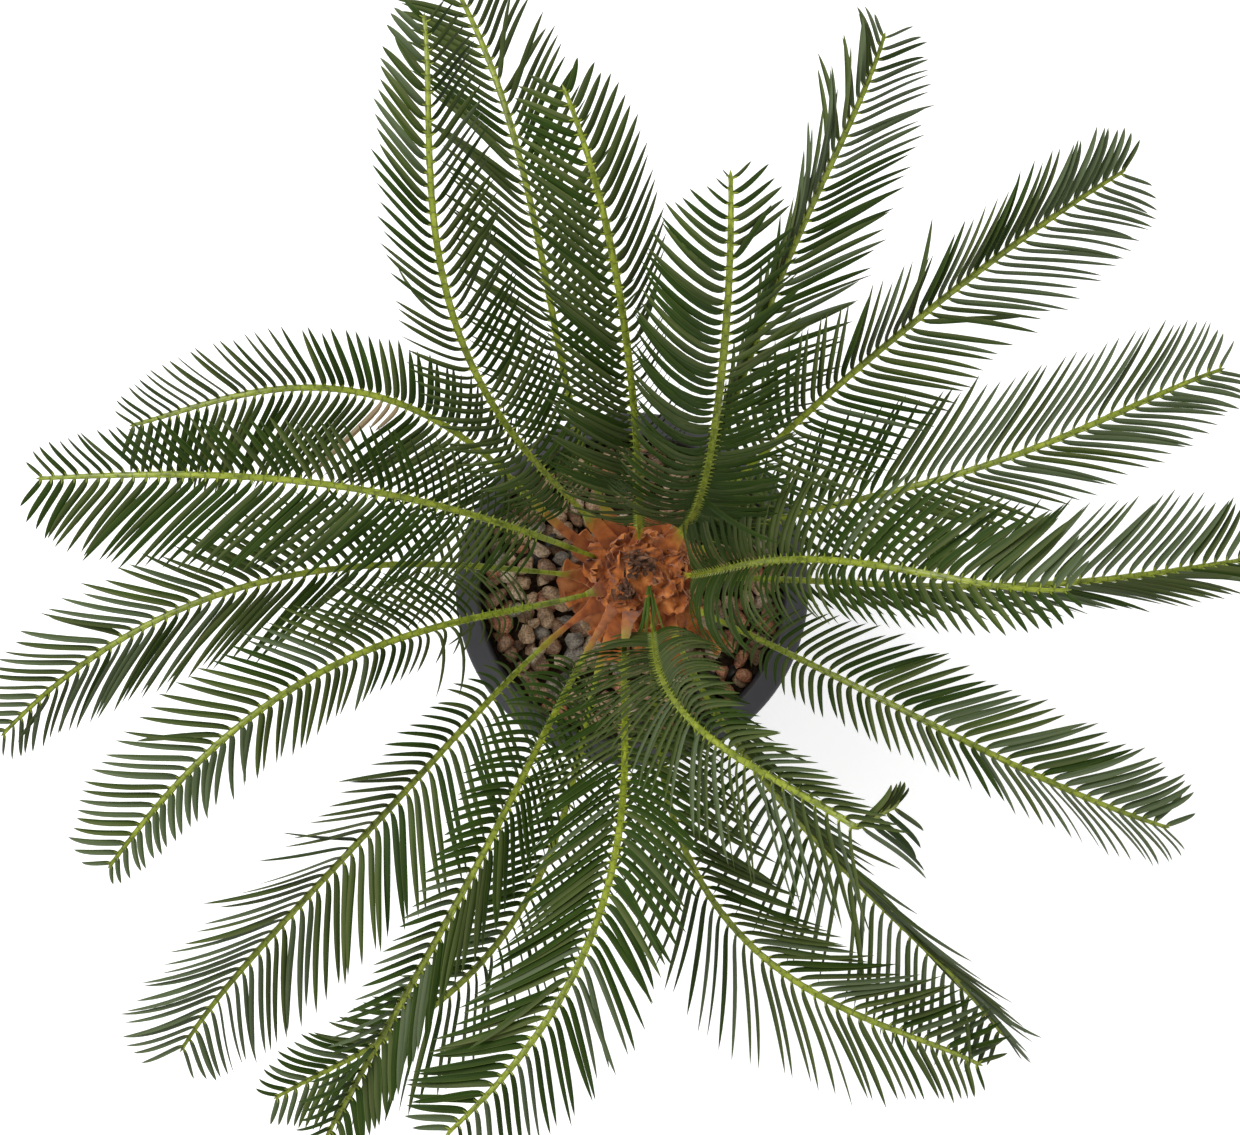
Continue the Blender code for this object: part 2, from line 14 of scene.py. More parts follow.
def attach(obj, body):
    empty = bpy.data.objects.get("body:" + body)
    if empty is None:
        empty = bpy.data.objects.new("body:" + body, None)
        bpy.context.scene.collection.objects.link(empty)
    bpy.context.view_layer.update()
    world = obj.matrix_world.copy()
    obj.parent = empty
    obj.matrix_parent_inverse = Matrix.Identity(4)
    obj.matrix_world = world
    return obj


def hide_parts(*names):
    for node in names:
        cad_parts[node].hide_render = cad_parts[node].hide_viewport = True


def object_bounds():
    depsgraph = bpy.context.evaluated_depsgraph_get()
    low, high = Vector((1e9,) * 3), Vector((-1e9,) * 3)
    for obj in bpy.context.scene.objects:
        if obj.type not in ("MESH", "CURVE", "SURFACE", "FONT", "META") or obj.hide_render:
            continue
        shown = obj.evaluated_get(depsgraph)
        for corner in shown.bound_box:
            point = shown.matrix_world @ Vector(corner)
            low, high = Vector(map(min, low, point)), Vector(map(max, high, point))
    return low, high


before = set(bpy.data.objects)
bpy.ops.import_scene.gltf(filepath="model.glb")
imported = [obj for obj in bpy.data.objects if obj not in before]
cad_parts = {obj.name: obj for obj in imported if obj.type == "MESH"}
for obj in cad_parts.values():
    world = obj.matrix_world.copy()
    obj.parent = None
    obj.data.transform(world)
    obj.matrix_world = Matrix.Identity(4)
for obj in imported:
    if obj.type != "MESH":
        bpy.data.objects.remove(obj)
CAD_LOW, CAD_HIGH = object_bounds()

# Camera: the photograph looks straight down
CAMERA = (-0.0102, 0.0182, 2.0)
FOCAL_PIXELS = 2041
IMAGE_WIDTH = 1240
SENSOR_WIDTH = 36.0

# Studio: lamps with their place, size and power, and what lights the plant evenly
LAMPS = (("key", (-1.3, 0.9, 2.6), 1.2, 56), ("fill", (1.5, -1.2, 2.4), 1.8, 14))
LAMPS_AIM = (0, 0, 0.35)
WORLD_LIGHT = 0.62
FLOOR_GLOW = 0.38
FLOOR_WHITE = (0.93, 0.93, 0.93, 1.0)
FLOOR_REACH = 9
WHITE = (1.0, 1.0, 1.0, 1.0)

# Pot and what fills it, as in the part's source
POT_HEIGHT = 0.270
RIM_RADIUS = 0.150
RIM_WIDTH = 0.0195
RIM_DEPTH = 0.030
WALL_TOP_RADIUS = 0.141
FOOT_RADIUS = 0.108
WALL_THICKNESS = 0.006
FLOOR_THICKNESS = 0.010
LEDGE_DROP = 0.012
RIM_ROUND = 0.0040              # radius of the rim's outer upper edge, then of its other edges
LIP_ROUND = 0.0028
BAND_ROUND = 0.0030
NECK_ROUND = 0.0022
FOOT_ROUND = 0.0050
RIM_DRAFT = 0.0005              # by which the rim's band narrows to its lower edge
WALL_BULGE = 0.0016
FOOT_WIDTH = 0.016              # from the foot's edge to the hollow under the pot
FOOT_HOLLOW = 0.002
POT_SEGMENTS = 192
SOIL_TOP = 0.234
STONES_POURED = 760             # stones dropped into the pot; those that come to rest too high are left out
STONE_HALF = (0.0058, 0.0105)   # half the length of a stone
STONE_TRIES = 14                # places that are tried for each
STONE_NEAREST = 0.046           # to the pot's axis: the middle of a stone, and its edge
STONE_EDGE = 0.042
STONES_TOP = 0.2545
STONES_BROKEN = 0.55            # share of the stones
STONE_CHIPS = 7                 # flat sides of a broken stone

# Trunk
TRUNK_FOOT = 0.2343
TRUNK_TOP = 0.362
CROWN_OFFSET = np.array((0.007, 0.012))
CROWN_HEIGHT = 0.318
TRUNK_PROFILE = ((0.0, 0.044), (0.10, 0.040), (0.28, 0.037), (0.50, 0.039), (0.66, 0.039),
                 (0.80, 0.034), (0.91, 0.025), (0.98, 0.013), (1.0, 0.004))
SPIRALS = (8, 13)               # old leaf bases round the trunk in the two spirals that cross
SPIRAL_CLIMB = 0.011
SPIRAL_SLOPE = 0.62             # of the second spiral, against the first
RELIEF = 0.0022
SKIN_SINK = 0.0028              # how far the skin's mean lies inside the solid

# Crown: how its rounded top falls off with the radius, and what stands on it
CROWN_RADII = (0.0, 0.013, 0.025, 0.034, 0.039)
CROWN_TOPS = (0.358, 0.352, 0.344, 0.332, 0.314)
GOLDEN_ANGLE = 137.508
CROWN_SHEETS = 26
CROWN_SCALES = 30
TRUNK_SCALES = 90
# Clusters of dark curled scales: east, north, how many, size. The last two darken the crown's middle between
# the first two, partly as painted shade
BUDS = ((-0.004, 0.0115, 34, 1.1), (-0.0115, -0.0135, 20, 0.9), (0.0040, 0.0020, 7, 1.2),
        (-0.0085, -0.0020, 5, 1.1))
# Tufts of fibres: bearing, radius, height, how many, length
FIBRES = ((28, 0.040, 0.338, 90, 0.014), (-28, 0.038, 0.322, 60, 0.016), (100, 0.004, 0.356, 30, 0.008))
FIBRE_STEPS = 7
FIBRE_RADIUS = 0.00028
# The bundle of young leaflets: how many, where they spring from, and their headings in turn
YOUNG_LEAFLETS = 9
YOUNG_ROOT = (0.0142, 0.0031, 0.358)
YOUNG_HEADINGS = (-78, -90, -104)

# Cut leaf bases: bearing in degrees, reach from the trunk's axis, rise in degrees
LEAF_BASE_WIDTH = 0.015
LEAF_BASE_THICKNESS = 0.0022
LEAF_BASE_HEIGHT = 0.272
LEAF_BASE_ROOT = 0.030
LEAF_BASE_CURL = 0.006
LEAF_BASE_WAIST = 0.35
LEAF_BASES = ((140, 0.064, 12), (113, 0.060, 25), (65, 0.066, 25), (20, 0.058, 15), (-26, 0.064, 12),
              (-37, 0.092, 3), (-62, 0.088, 3), (-85, 0.060, 10), (-107, 0.070, 6), (-128, 0.060, 10),
              (-166, 0.062, 10), (168, 0.064, 12))

# Webs of felt between the petioles: bearing, reach, half width, height, rise
WEB_ROOT = 0.024
WEB_DROOP = 0.30                # by which they bend down at their end, in radians
WEBS = ((184, 0.066, 0.0150, 0.282, 0), (205, 0.058, 0.0110, 0.286, 0), (150, 0.060, 0.0110, 0.292, 6),
        (-118, 0.060, 0.0120, 0.285, 0), (-140, 0.056, 0.0100, 0.287, 2), (-95, 0.052, 0.0120, 0.286, 4),
        (128, 0.052, 0.0110, 0.298, 10), (80, 0.050, 0.0120, 0.300, 14), (-50, 0.056, 0.0100, 0.290, 2))

# Rings in the crown that the fronds spring from: radius and height of the root point
OUTER_LOW = (0.030, 0.300)
OUTER_HIGH = (0.030, 0.318)
INNER_LOW = (0.024, 0.330)
INNER_HIGH = (0.018, 0.340)

# Fronds, as in the part's source: ring, bearing, length, bare petiole, headings, rises, longest
# leaflet, spread of the left and right side. The headings and lengths, and the rises of fronds 1, 3, 4,
# 9 and 11, were found by a search that laid each rachis over its path in the photograph
FRONDS = {
    1: (INNER_LOW, 136, 0.517, 0.085, (126, 129, 99, 96), (69, 37, -1), 0.068, (1.0, 1.0)),
    2: (OUTER_HIGH, 116, 0.508, 0.080, (126, 102, 104, 119), (50, 18, -25), 0.088, (1.0, 1.0)),
    3: (INNER_HIGH, 94, 0.502, 0.032, (91, 94, 99, 113), (87, 54, 5), 0.082, (1.0, 1.0)),
    4: (INNER_HIGH, 46, 0.535, 0.045, (43, 76, 86, 93), (87, 70, 24), 0.084, (1.0, 1.0)),
    5: (OUTER_LOW, 49, 0.482, 0.070, (50, 71, 66, 73), (50, 18, -20), 0.094, (0.55, 1.0)),
    6: (OUTER_HIGH, 31, 0.500, 0.070, (56, 43, 38, 31), (48, 18, -20), 0.090, (0.75, 1.0)),
    7: (OUTER_LOW, 13, 0.498, 0.080, (45, 13, 21, 18), (48, 16, -20), 0.094, (1.0, 0.85)),
    8: (OUTER_HIGH, -9, 0.485, 0.080, (7, -3, 4, 8), (46, 14, -22), 0.092, (1.0, 0.45)),
    9: (INNER_HIGH, -3, 0.445, 0.034, (-2, 13, -8, 4), (75, 59, -11), 0.088, (1.0, 1.0)),
    10: (OUTER_LOW, -32, 0.469, 0.085, (-25, -26, -26, -17), (50, 18, -20), 0.092, (1.0, 0.80)),
    11: (INNER_HIGH, -64, 0.520, 0.040, (-86, -72, -31, -50), (78, 70, 15), 0.080, (1.0, 1.0)),
    12: (OUTER_HIGH, -55, 0.467, 0.075, (-69, -55, -44, -55), (50, 18, -20), 0.090, (0.30, 1.0)),
    13: (OUTER_LOW, -88, 0.525, 0.075, (-68, -79, -36, -30), (52, 20, -20), 0.090, (1.0, 0.70)),
    14: (INNER_LOW, -103, 0.525, 0.085, (-118, -89, -112, -137), (70, 38, -5), 0.088, (1.0, 1.0)),
    15: (OUTER_HIGH, -112, 0.533, 0.100, (-130, -104, -137, -146), (50, 16, -22), 0.090, (1.0, 1.0)),
    16: (INNER_LOW, -132, 0.535, 0.115, (-128, -117, -119, -117), (65, 28, -12), 0.088, (1.0, 0.85)),
    17: (OUTER_LOW, -148, 0.530, 0.115, (-151, -133, -133, -122), (50, 16, -20), 0.096, (1.0, 0.75)),
    18: (INNER_LOW, -162, 0.515, 0.115, (-155, -168, -145, -129), (62, 26, -18), 0.096, (0.72, 1.0)),
    19: (OUTER_LOW, 178, 0.549, 0.120, (177, 180, 203, 223), (48, 14, -22), 0.096, (0.85, 1.0)),
    20: (OUTER_HIGH, 158, 0.506, 0.100, (160, 164, 176, 182), (62, 28, -15), 0.086, (1.0, 1.0)),
    21: (OUTER_LOW, 142, 0.465, 0.090, (168, 137, 177, 192), (55, 22, -15), 0.088, (1.0, 0.80)),
}
# Petioles whose foot leans out of the crown before the rachis rises: how long that foot is
LEANING_FEET = {1: 0.045, 3: 0.027, 4: 0.040, 9: 0.028, 11: 0.036}
FOOT_RISE = 35                  # of such a foot, in degrees
FOLDED_FROND = 11
FOLD_AT = 0.90
FOLD_TURN = 50
FOLD_DIVE = -50

# Rachis
RIB_WIDTH = 0.0052
RIB_DEPTH = 0.0036
RIB_PLACES = (0.0, 0.80, 0.93, 1.0)     # shares of the rachis, and its size there
RIB_SIZES = (1.0, 0.92, 0.72, 0.50)
RIB_SIDES = 10
RIB_STEP = 0.0028
# Its size just above the felt, where it is slimmer than that, and over what length it grows
SLIM_FEET = {3: (0.62, 0.060), 4: (0.55, 0.300), 9: (0.42, 0.180), 11: (0.40, 0.320), 18: (0.70, 0.060),
             19: (0.70, 0.060), 20: (0.60, 0.060)}
JOINT_EVERY = 0.0103            # the moulded rachis shows a dark joint at each pair of leaflets
JOINT_DEPTH = 0.10              # shares of its size: what it loses there
KNOB = 0.12                     # and what it swells by at each leaflet's root
JOINT_LENGTH = 0.0012
KNOB_LENGTH = 0.0018
RIB_UNDER_FELT = 0.014          # how far it runs on under the felt
RIB_TIP = (0.004, 0.12)         # over what length its end closes, and its size there
# A leaflet's socket: how far its points lie along the rachis and along the leaflet, how high they lie
# as a share of the rachis's half depth, and its size there
SOCKET_PATH = ((-0.0052, 0, 0.55), (-0.0026, 0, 0.60), (0, 0, 0.35), (0, 0.0016, 0.15), (0, 0.0038, 0))
SOCKET_SIZES = np.array((0.30, 0.85, 1.0, 0.75, 0.25))

# Felt wrapped round the foot of each petiole: how far up it goes, half its width where it leaves the
# crown, and over what length it narrows
FELTS = {
    1: (0.058, 0.0075, 0.090), 2: (0.055, 0.0080, 0.040), 3: (0.026, 0.0085, 0.020),
    4: (0.042, 0.0095, 0.026), 9: (0.028, 0.0080, 0.016), 11: (0.032, 0.0040, 0.012),
    14: (0.082, 0.0085, 0.030), 15: (0.085, 0.0090, 0.027), 16: (0.118, 0.0100, 0.016),
    17: (0.098, 0.0100, 0.012), 18: (0.046, 0.0100, 0.016), 19: (0.055, 0.0110, 0.014),
    20: (0.018, 0.0080, 0.010), 21: (0.122, 0.0075, 0.040),
}
FELT = (0.045, 0.0085, 0.022)
CROWN_EDGE = 0.015              # where along the petiole it leaves the crown

# Leaflets
LEAFLET_SPACING = 0.0103
LEAFLET_CROWDING = (0.66, 0.97) # shares of that spacing at the foot of the blade and at its tip
# Fronds whose leaflets stand closer or further apart than the rest
CROWDING = {4: 0.86, 7: 1.14, 8: 1.08, 9: 0.92, 10: 1.05, 13: 1.05, 14: 0.86, 17: 1.06, 18: 0.94, 19: 1.10,
            20: 0.93, 21: 0.80}
PAIR_SHIFT = 0.0012             # how far a left leaflet stands above its pair's middle
ROOT_OUT = 0.6                  # how far out from the rachis's axis it springs, as a share of its half width
LEAFLET_WIDTH = 0.0052
LEAFLET_THICKNESS = 0.0007
LEAFLET_ANGLES = (68, 41, 52)
LEAFLET_SWEEP = (-6.0, 8)       # opening, in degrees: at the root, and what it changes by to the tip
LEAFLET_ARCH = (14.7, -32)      # lift, likewise
LEAFLET_ELBOW = (38, 0.0060)    # the extra opening at the root, and over what length it goes
LEAFLET_FOLD = 12               # of each half blade below its midline
# How the leaflets on the left side (1) and the right side (-1) of each frond are fitted. Near its foot,
# halfway and near its tip: how much of their width is seen from above (below 1 they are turned on
# edge, above 1 they are broader), how many degrees further out they stand than the common rule, and
# how long they look, as a share of the common length. For its foot and its tip: how steeply in degrees
# they rise at the root, to bend over, so that they look short. Last, the share that is pale near the tip.
# The first nine of each row were computed from measurements of the photograph and of renders, and some
# were then changed by hand. The last three were set one by one
SIDES = {
    (1, 1): ((1, 0.6, 1.1), (-2, -4, -4), (0.93, 0.82, 0.95), (20, 38), 0.1),
    (1, -1): ((1, 0.65, 0.55), (9, 9, -7), (1, 1, 1), (0, 0), 0.2),
    (2, 1): ((0.8, 0.75, 0.75), (0, 0, 0), (1, 1, 1), (0, 0), 0),
    (2, -1): ((0.8, 0.85, 0.65), (11, 2, -2), (0.96, 0.99, 0.89), (0, 0), 0),
    (3, 1): ((0.8, 0.9, 0.9), (0, 0, 0), (1, 1, 1), (0, 0), 0),
    (3, -1): ((0.55, 0.25, 0.9), (-6, -15, -7), (0.92, 0.75, 1), (20, 38), 0),
    (4, 1): ((0.6, 0.9, 1), (-3, -3, 0), (1.09, 1.11, 1.15), (10, 45), 0),
    (4, -1): ((0.9, 0.85, 0.75), (1, 4, 2), (0.92, 0.9, 0.8), (0, 0), 0),
    (5, 1): ((0.75, 0.65, 0.6), (2, -2, 14), (0.8, 0.8, 0.8), (0, 0), 0.6),
    (5, -1): ((0.75, 0.85, 0.45), (9, 3, -2), (0.84, 0.88, 0.87), (0, 0), 0.8),
    (6, 1): ((1, 0.6, 0.8), (7, -2, 3), (1.03, 0.76, 0.96), (42, 36), 0.6),
    (6, -1): ((1, 0.8, 0.4), (9, 10, -1), (1.01, 0.86, 1.05), (0, 0), 1),
    (7, 1): ((1, 0.7, 0.5), (2, -1, -9), (0.92, 1, 0.93), (0, 0), 1),
    (7, -1): ((0.95, 0.8, 0.75), (1, -2, -5), (0.95, 0.94, 0.88), (10, 32), 1),
    (8, 1): ((0.9, 0.65, 0.7), (2, 4, 1), (0.97, 0.94, 0.95), (0, 0), 0.9),
    (8, -1): ((1, 0.5, 0.75), (9, 1, 2), (0.59, 0.83, 0.93), (30, 34), 0.4),
    (9, 1): ((0.75, 0.8, 0.95), (3, 9, 4), (1, 1, 1), (25, 0), 0.2),
    (9, -1): ((0.75, 0.65, 0.9), (16, 10, 0), (1, 0.7, 0.7), (45, 55), 0.1),
    (10, 1): ((1, 1.05, 0.95), (-6, 4, -1), (0.78, 0.84, 0.91), (25, 28), 0.8),
    (10, -1): ((1, 0.7, 0.25), (13, 5, -4), (0.52, 0.59, 0.84), (60, 52), 0.8),
    (11, 1): ((0.7, 0.75, 0.6), (-8, -12, -26), (0.95, 0.95, 0.75), (34, 36), 0.1),
    (11, -1): ((0.6, 0.7, 0.55), (0, 0, 0), (1, 1, 1.3), (0, 0), 0.5),
    (12, 1): ((1, 0.55, 0.5), (0, 0, 0), (1, 1, 1), (0, 0), 0.8),
    (12, -1): ((0.75, 0.65, 0.6), (40, 16, 5), (1, 1, 1), (0, 0), 0.7),
    (13, 1): ((0.9, 0.65, 0.6), (-6, -2, -2), (0.96, 0.96, 0.89), (0, 0), 0.5),
    (13, -1): ((1, 0.65, 0.75), (7, 15, 13), (0.87, 1.03, 0.78), (0, 0), 0.2),
    (14, 1): ((0.7, 1.05, 0.55), (13, 8, 4), (0.92, 0.85, 0.89), (10, 28), 0.1),
    (14, -1): ((0.75, 0.8, 0.9), (0, 0, 0), (1, 1, 1), (0, 0), 0.2),
    (15, 1): ((0.55, 0.4, 0.95), (-1, 7, -9), (0.9, 0.84, 0.9), (0, 0), 0.2),
    (15, -1): ((0.9, 0.7, 0.6), (1, 1, 3), (0.77, 0.55, 0.69), (35, 50), 0.3),
    (16, 1): ((0.75, 0.85, 1.1), (-11, -22, -11), (0.81, 0.81, 0.69), (0, 0), 0.1),
    (16, -1): ((1, 0.8, 0.45), (3, 7, 4), (0.74, 0.47, 0.68), (40, 52), 0.4),
    (17, 1): ((1, 1, 0.45), (6, 3, 2), (1, 0.95, 0.85), (0, 0), 0.9),
    (17, -1): ((1, 0.4, 0.55), (13, 2, 4), (0.5, 0.78, 1.09), (68, 22), 0.95),
    (18, 1): ((0.7, 0.75, 0.9), (6, 21, 20), (0.42, 0.64, 0.49), (60, 40), 0.9),
    (18, -1): ((0.7, 0.8, 0.75), (-14, 9, 9), (0.85, 0.64, 0.8), (15, 35), 0.7),
    (19, 1): ((0.95, 0.8, 0.4), (0, 2, -2), (0.95, 0.95, 0.65), (0, 0), 0.8),
    (19, -1): ((0.9, 0.9, 0.75), (-1, -1, -4), (0.87, 0.71, 0.82), (20, 40), 0.8),
    (20, 1): ((0.95, 0.9, 0.85), (4, 10, 6), (1, 1.05, 1), (0, 0), 0),
    (20, -1): ((0.5, 0.9, 0.5), (9, 9, 0), (0.7, 0.65, 0.65), (10, 30), 0),
    (21, 1): ((0.95, 0.8, 0.65), (16, 22, 16), (1, 1, 1), (0, 0), 0),
    (21, -1): ((0.75, 1, 0.4), (11, 30, 16), (0.62, 0.6, 0.7), (48, 38), 0),
}
# Sides whose leaflets are closed up along the rachis, with their spread near the foot, halfway and
# near the tip
BUNDLES = {(5, 1): (0.16, 0.34, 0.48), (12, 1): (0.40, 0.16, 0.18)}
BUNDLE_LOOSE = (5, 24)          # degrees by which their leaflets open and curl unevenly
PALE_FROM = (0.30, 0.80)        # where on the blade the pale leaflets begin and are in full
# Shares of a frond's leaflets that are of the darkest green
DEEP_SHARES = {4: 0.40, 9: 0.25, 14: 0.55, 15: 0.55, 16: 0.45, 20: 0.50, 21: 0.15}
# Stretches of a side whose leaflets are faded
WORN = {(21, 1): (0.465, 0.525)}
# Stretches whose leaflets are so broad that they close to one sheet, and how much broader they are
BROAD = {(11, -1): (0.10, 2.4)}
# Fronds whose first leaflets are short: until where on the blade, and how short the first is
SHORT_FEET = {3: (0.11, 0.18), 4: (0.07, 0.20), 9: (0.06, 0.25)}
# Single leaflets unlike their neighbours: place on the blade, share of the length, degrees further out
ODD_LEAFLETS = {
    (18, 1): ((0.20, 1.9, 18), (0.22, 1.8, 4), (0.14, 1.3, -30)),
    (21, 1): ((0.435, 0.3, 0), (0.45, 0.3, 0)),
    (6, 1): ((0.52, 1.3, 12),),
    (17, -1): ((0.30, 1.3, -6), (0.55, 1.25, 4)),
}
RAISED_BEND = 1.35              # how much of that is gone at the tip
LEAFLET_LEVEL = 0.35            # how much of the frond's own tilt its leaflets' faces keep
TIP_CLOSING = (0.45, 0.008)     # the last leaflets close up: by how much, and over what length
BUNDLED_LIFT = 60
TIP_RUN = 0.32
TIP_POWER = 0.46
TIP_LEAST = 0.12
FOOT_RUN = 0.28
FOOT_LEAST = 0.42
NARROW_BELOW = 0.039
NARROW_LEAST = 0.35
STRETCHES = (1 / 6, 1 / 2, 5 / 6)    # shares of the blade that the three values stand for
FOOT_NARROW = (0.52, 0.35)      # width of the first leaflets, and the share of the blade where it ends
STATIONS = np.array((0.0, 0.02, 0.05, 0.10, 0.18, 0.30, 0.45, 0.60, 0.72, 0.83, 0.92, 1.0))
OUTLINE = np.array((0.36, 0.46, 0.70, 0.90, 1.0, 1.02, 1.0, 0.92, 0.80, 0.62, 0.38, 0.04))
BLADE_U = np.array((0.02, 0.5, 0.98, 0.5))      # UV across a leaflet: edge, midline, edge, underside
# How uneven single leaflets are: in metres, then as shares of the length and the width, then in degrees
UNEVEN_PLACE = 0.0005           # along the rachis
UNEVEN_LENGTH = 0.035
UNEVEN_WIDTH = 0.04
UNEVEN_OPENING = 1.1
UNEVEN_LIFT = 2.5
UNEVEN_CURL = 5
UNEVEN_TURN = 6
UNEVEN_TWIST = 8
STRAYS = 0.025                  # share that strays, and by how many degrees in opening, lift and curl
STRAY_BY = (9, 18, 25)
CLUMP_CHANCES = (0.60, 0.25, 0.11, 0.04)        # of one to four leaflets whose tips draw together
CLUMP_GATHER = (1.0, 4.0)
SEED = 11


def linear(red, green, blue):
    """Linear colour of an 8-bit screen colour."""
    return tuple(((c / 255 + 0.055) / 1.055) ** 2.4 for c in (red, green, blue)) + (1.0,)


# Meshes from arrays

class Heap:
    """Gathers the points, faces, UVs and material numbers of one piece."""

    def __init__(self):
        self.points = []
        self.uvs = []
        self.faces = []
        self.slots = []
        self.count = 0

    def add(self, points, faces, uvs=None, slot=0):
        """Add one shape: points in any grid, faces as lists of indexes into them, UVs in the same grid."""
        points = np.asarray(points, dtype=float).reshape(-1, 3)
        if uvs is None:
            uvs = np.zeros((len(points), 2))
        self.points.append(points)
        self.uvs.append(np.asarray(uvs, dtype=float).reshape(-1, 2))
        self.faces += [tuple(int(i) + self.count for i in face) for face in faces]
        self.slots += [slot] * len(faces)
        self.count += len(points)

    def piece(self, name, mats, cad_nodes, slot, crease=40):
        """Make the piece, ride it on the body and let it stand for its CAD nodes."""
        points = np.vstack(self.points)
        uvs = np.vstack(self.uvs)
        mesh = bpy.data.meshes.new(name)
        mesh.from_pydata(points.tolist(), [], self.faces)
        layer = mesh.uv_layers.new(name="UVMap")
        loops = np.empty(len(mesh.loops), dtype=np.int32)
        mesh.loops.foreach_get("vertex_index", loops)
        layer.data.foreach_set("uv", uvs[loops].ravel())
        mesh.polygons.foreach_set("material_index", self.slots)
        for mat in mats:
            mesh.materials.append(mat)
        mesh.shade_smooth()
        mesh.set_sharp_from_angle(angle=math.radians(crease))
        obj = bpy.data.objects.new(name, mesh)
        bpy.context.scene.collection.objects.link(obj)
        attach(obj, "root")
        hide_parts(*cad_nodes)
        return obj


def loft_faces(rings, around):
    """Faces of a closed loft, rings of points in order, with both ends capped."""
    faces = []
    for i in range(0, (rings - 1) * around, around):
        for j in range(around):
            k = (j + 1) % around
            faces.append((i + j, i + k, i + around + k, i + around + j))
    return faces + [tuple(reversed(range(around))), tuple(range((rings - 1) * around, rings * around))]


def tube(centre, side, above, wide, deep, around, square=1.0):
    """Rings of points round a line: wide and deep are half sizes along side and above."""
    turns = np.arange(around) / around * math.tau
    sideways = np.sign(np.cos(turns)) * np.abs(np.cos(turns)) ** square
    return (centre[..., None, :] + side[..., None, :] * (wide[..., None] * sideways)[..., None]
            + above[..., None, :] * (deep[..., None] * np.sin(turns))[..., None])


def unit(vectors):
    """Vectors at length 1."""
    return vectors / np.linalg.norm(vectors, axis=-1, keepdims=True)


def aimed(heading, rise):
    """Unit vectors at a heading and a rise, both in radians."""
    return np.stack((np.cos(rise) * np.cos(heading), np.cos(rise) * np.sin(heading), np.sin(rise)), axis=-1)


def walked(start, steps):
    """Points of a path, from its start by its steps."""
    sums = np.cumsum(steps, axis=-2)
    return start[..., None, :] + np.concatenate((np.zeros_like(sums[..., :1, :]), sums), axis=-2)


def grid_uvs(across, along):
    """UVs of a grid of points."""
    return np.stack(np.broadcast_arrays(across, along), axis=-1)


def rough(points, size, seed=0.0):
    """Smooth noise at each point, from -1 to 1, with lumps of about this size."""
    return np.array([noise.noise(Vector(p) / size + Vector((seed, seed * 1.7, -seed))) for p in points])


# Fronds, by the rule of the part's source

def through(values, share):
    """Smooth curve through evenly spaced values (Lagrange's formula), read at share."""
    last = len(values) - 1
    total = np.zeros_like(share, dtype=float)
    for i, value in enumerate(values):
        weight = np.ones_like(share, dtype=float)
        for j in range(len(values)):
            if j != i:
                weight = weight * (share * last - j) / (i - j)
        total = total + value * weight
    return total


def axis_at(height):
    """Where the trunk's axis is at a height."""
    share = (height - TRUNK_FOOT) / (CROWN_HEIGHT - TRUNK_FOOT)
    return CROWN_OFFSET * min(share, 1.0)


def from_axis(bearing, out, height, up=0.0):
    """Points out from the trunk's axis at a height, and up from there. The bearing is in degrees."""
    angle = math.radians(bearing)
    axis = axis_at(height)
    return np.stack((axis[0] + out * math.cos(angle), axis[1] + out * math.sin(angle), height + up), axis=-1)


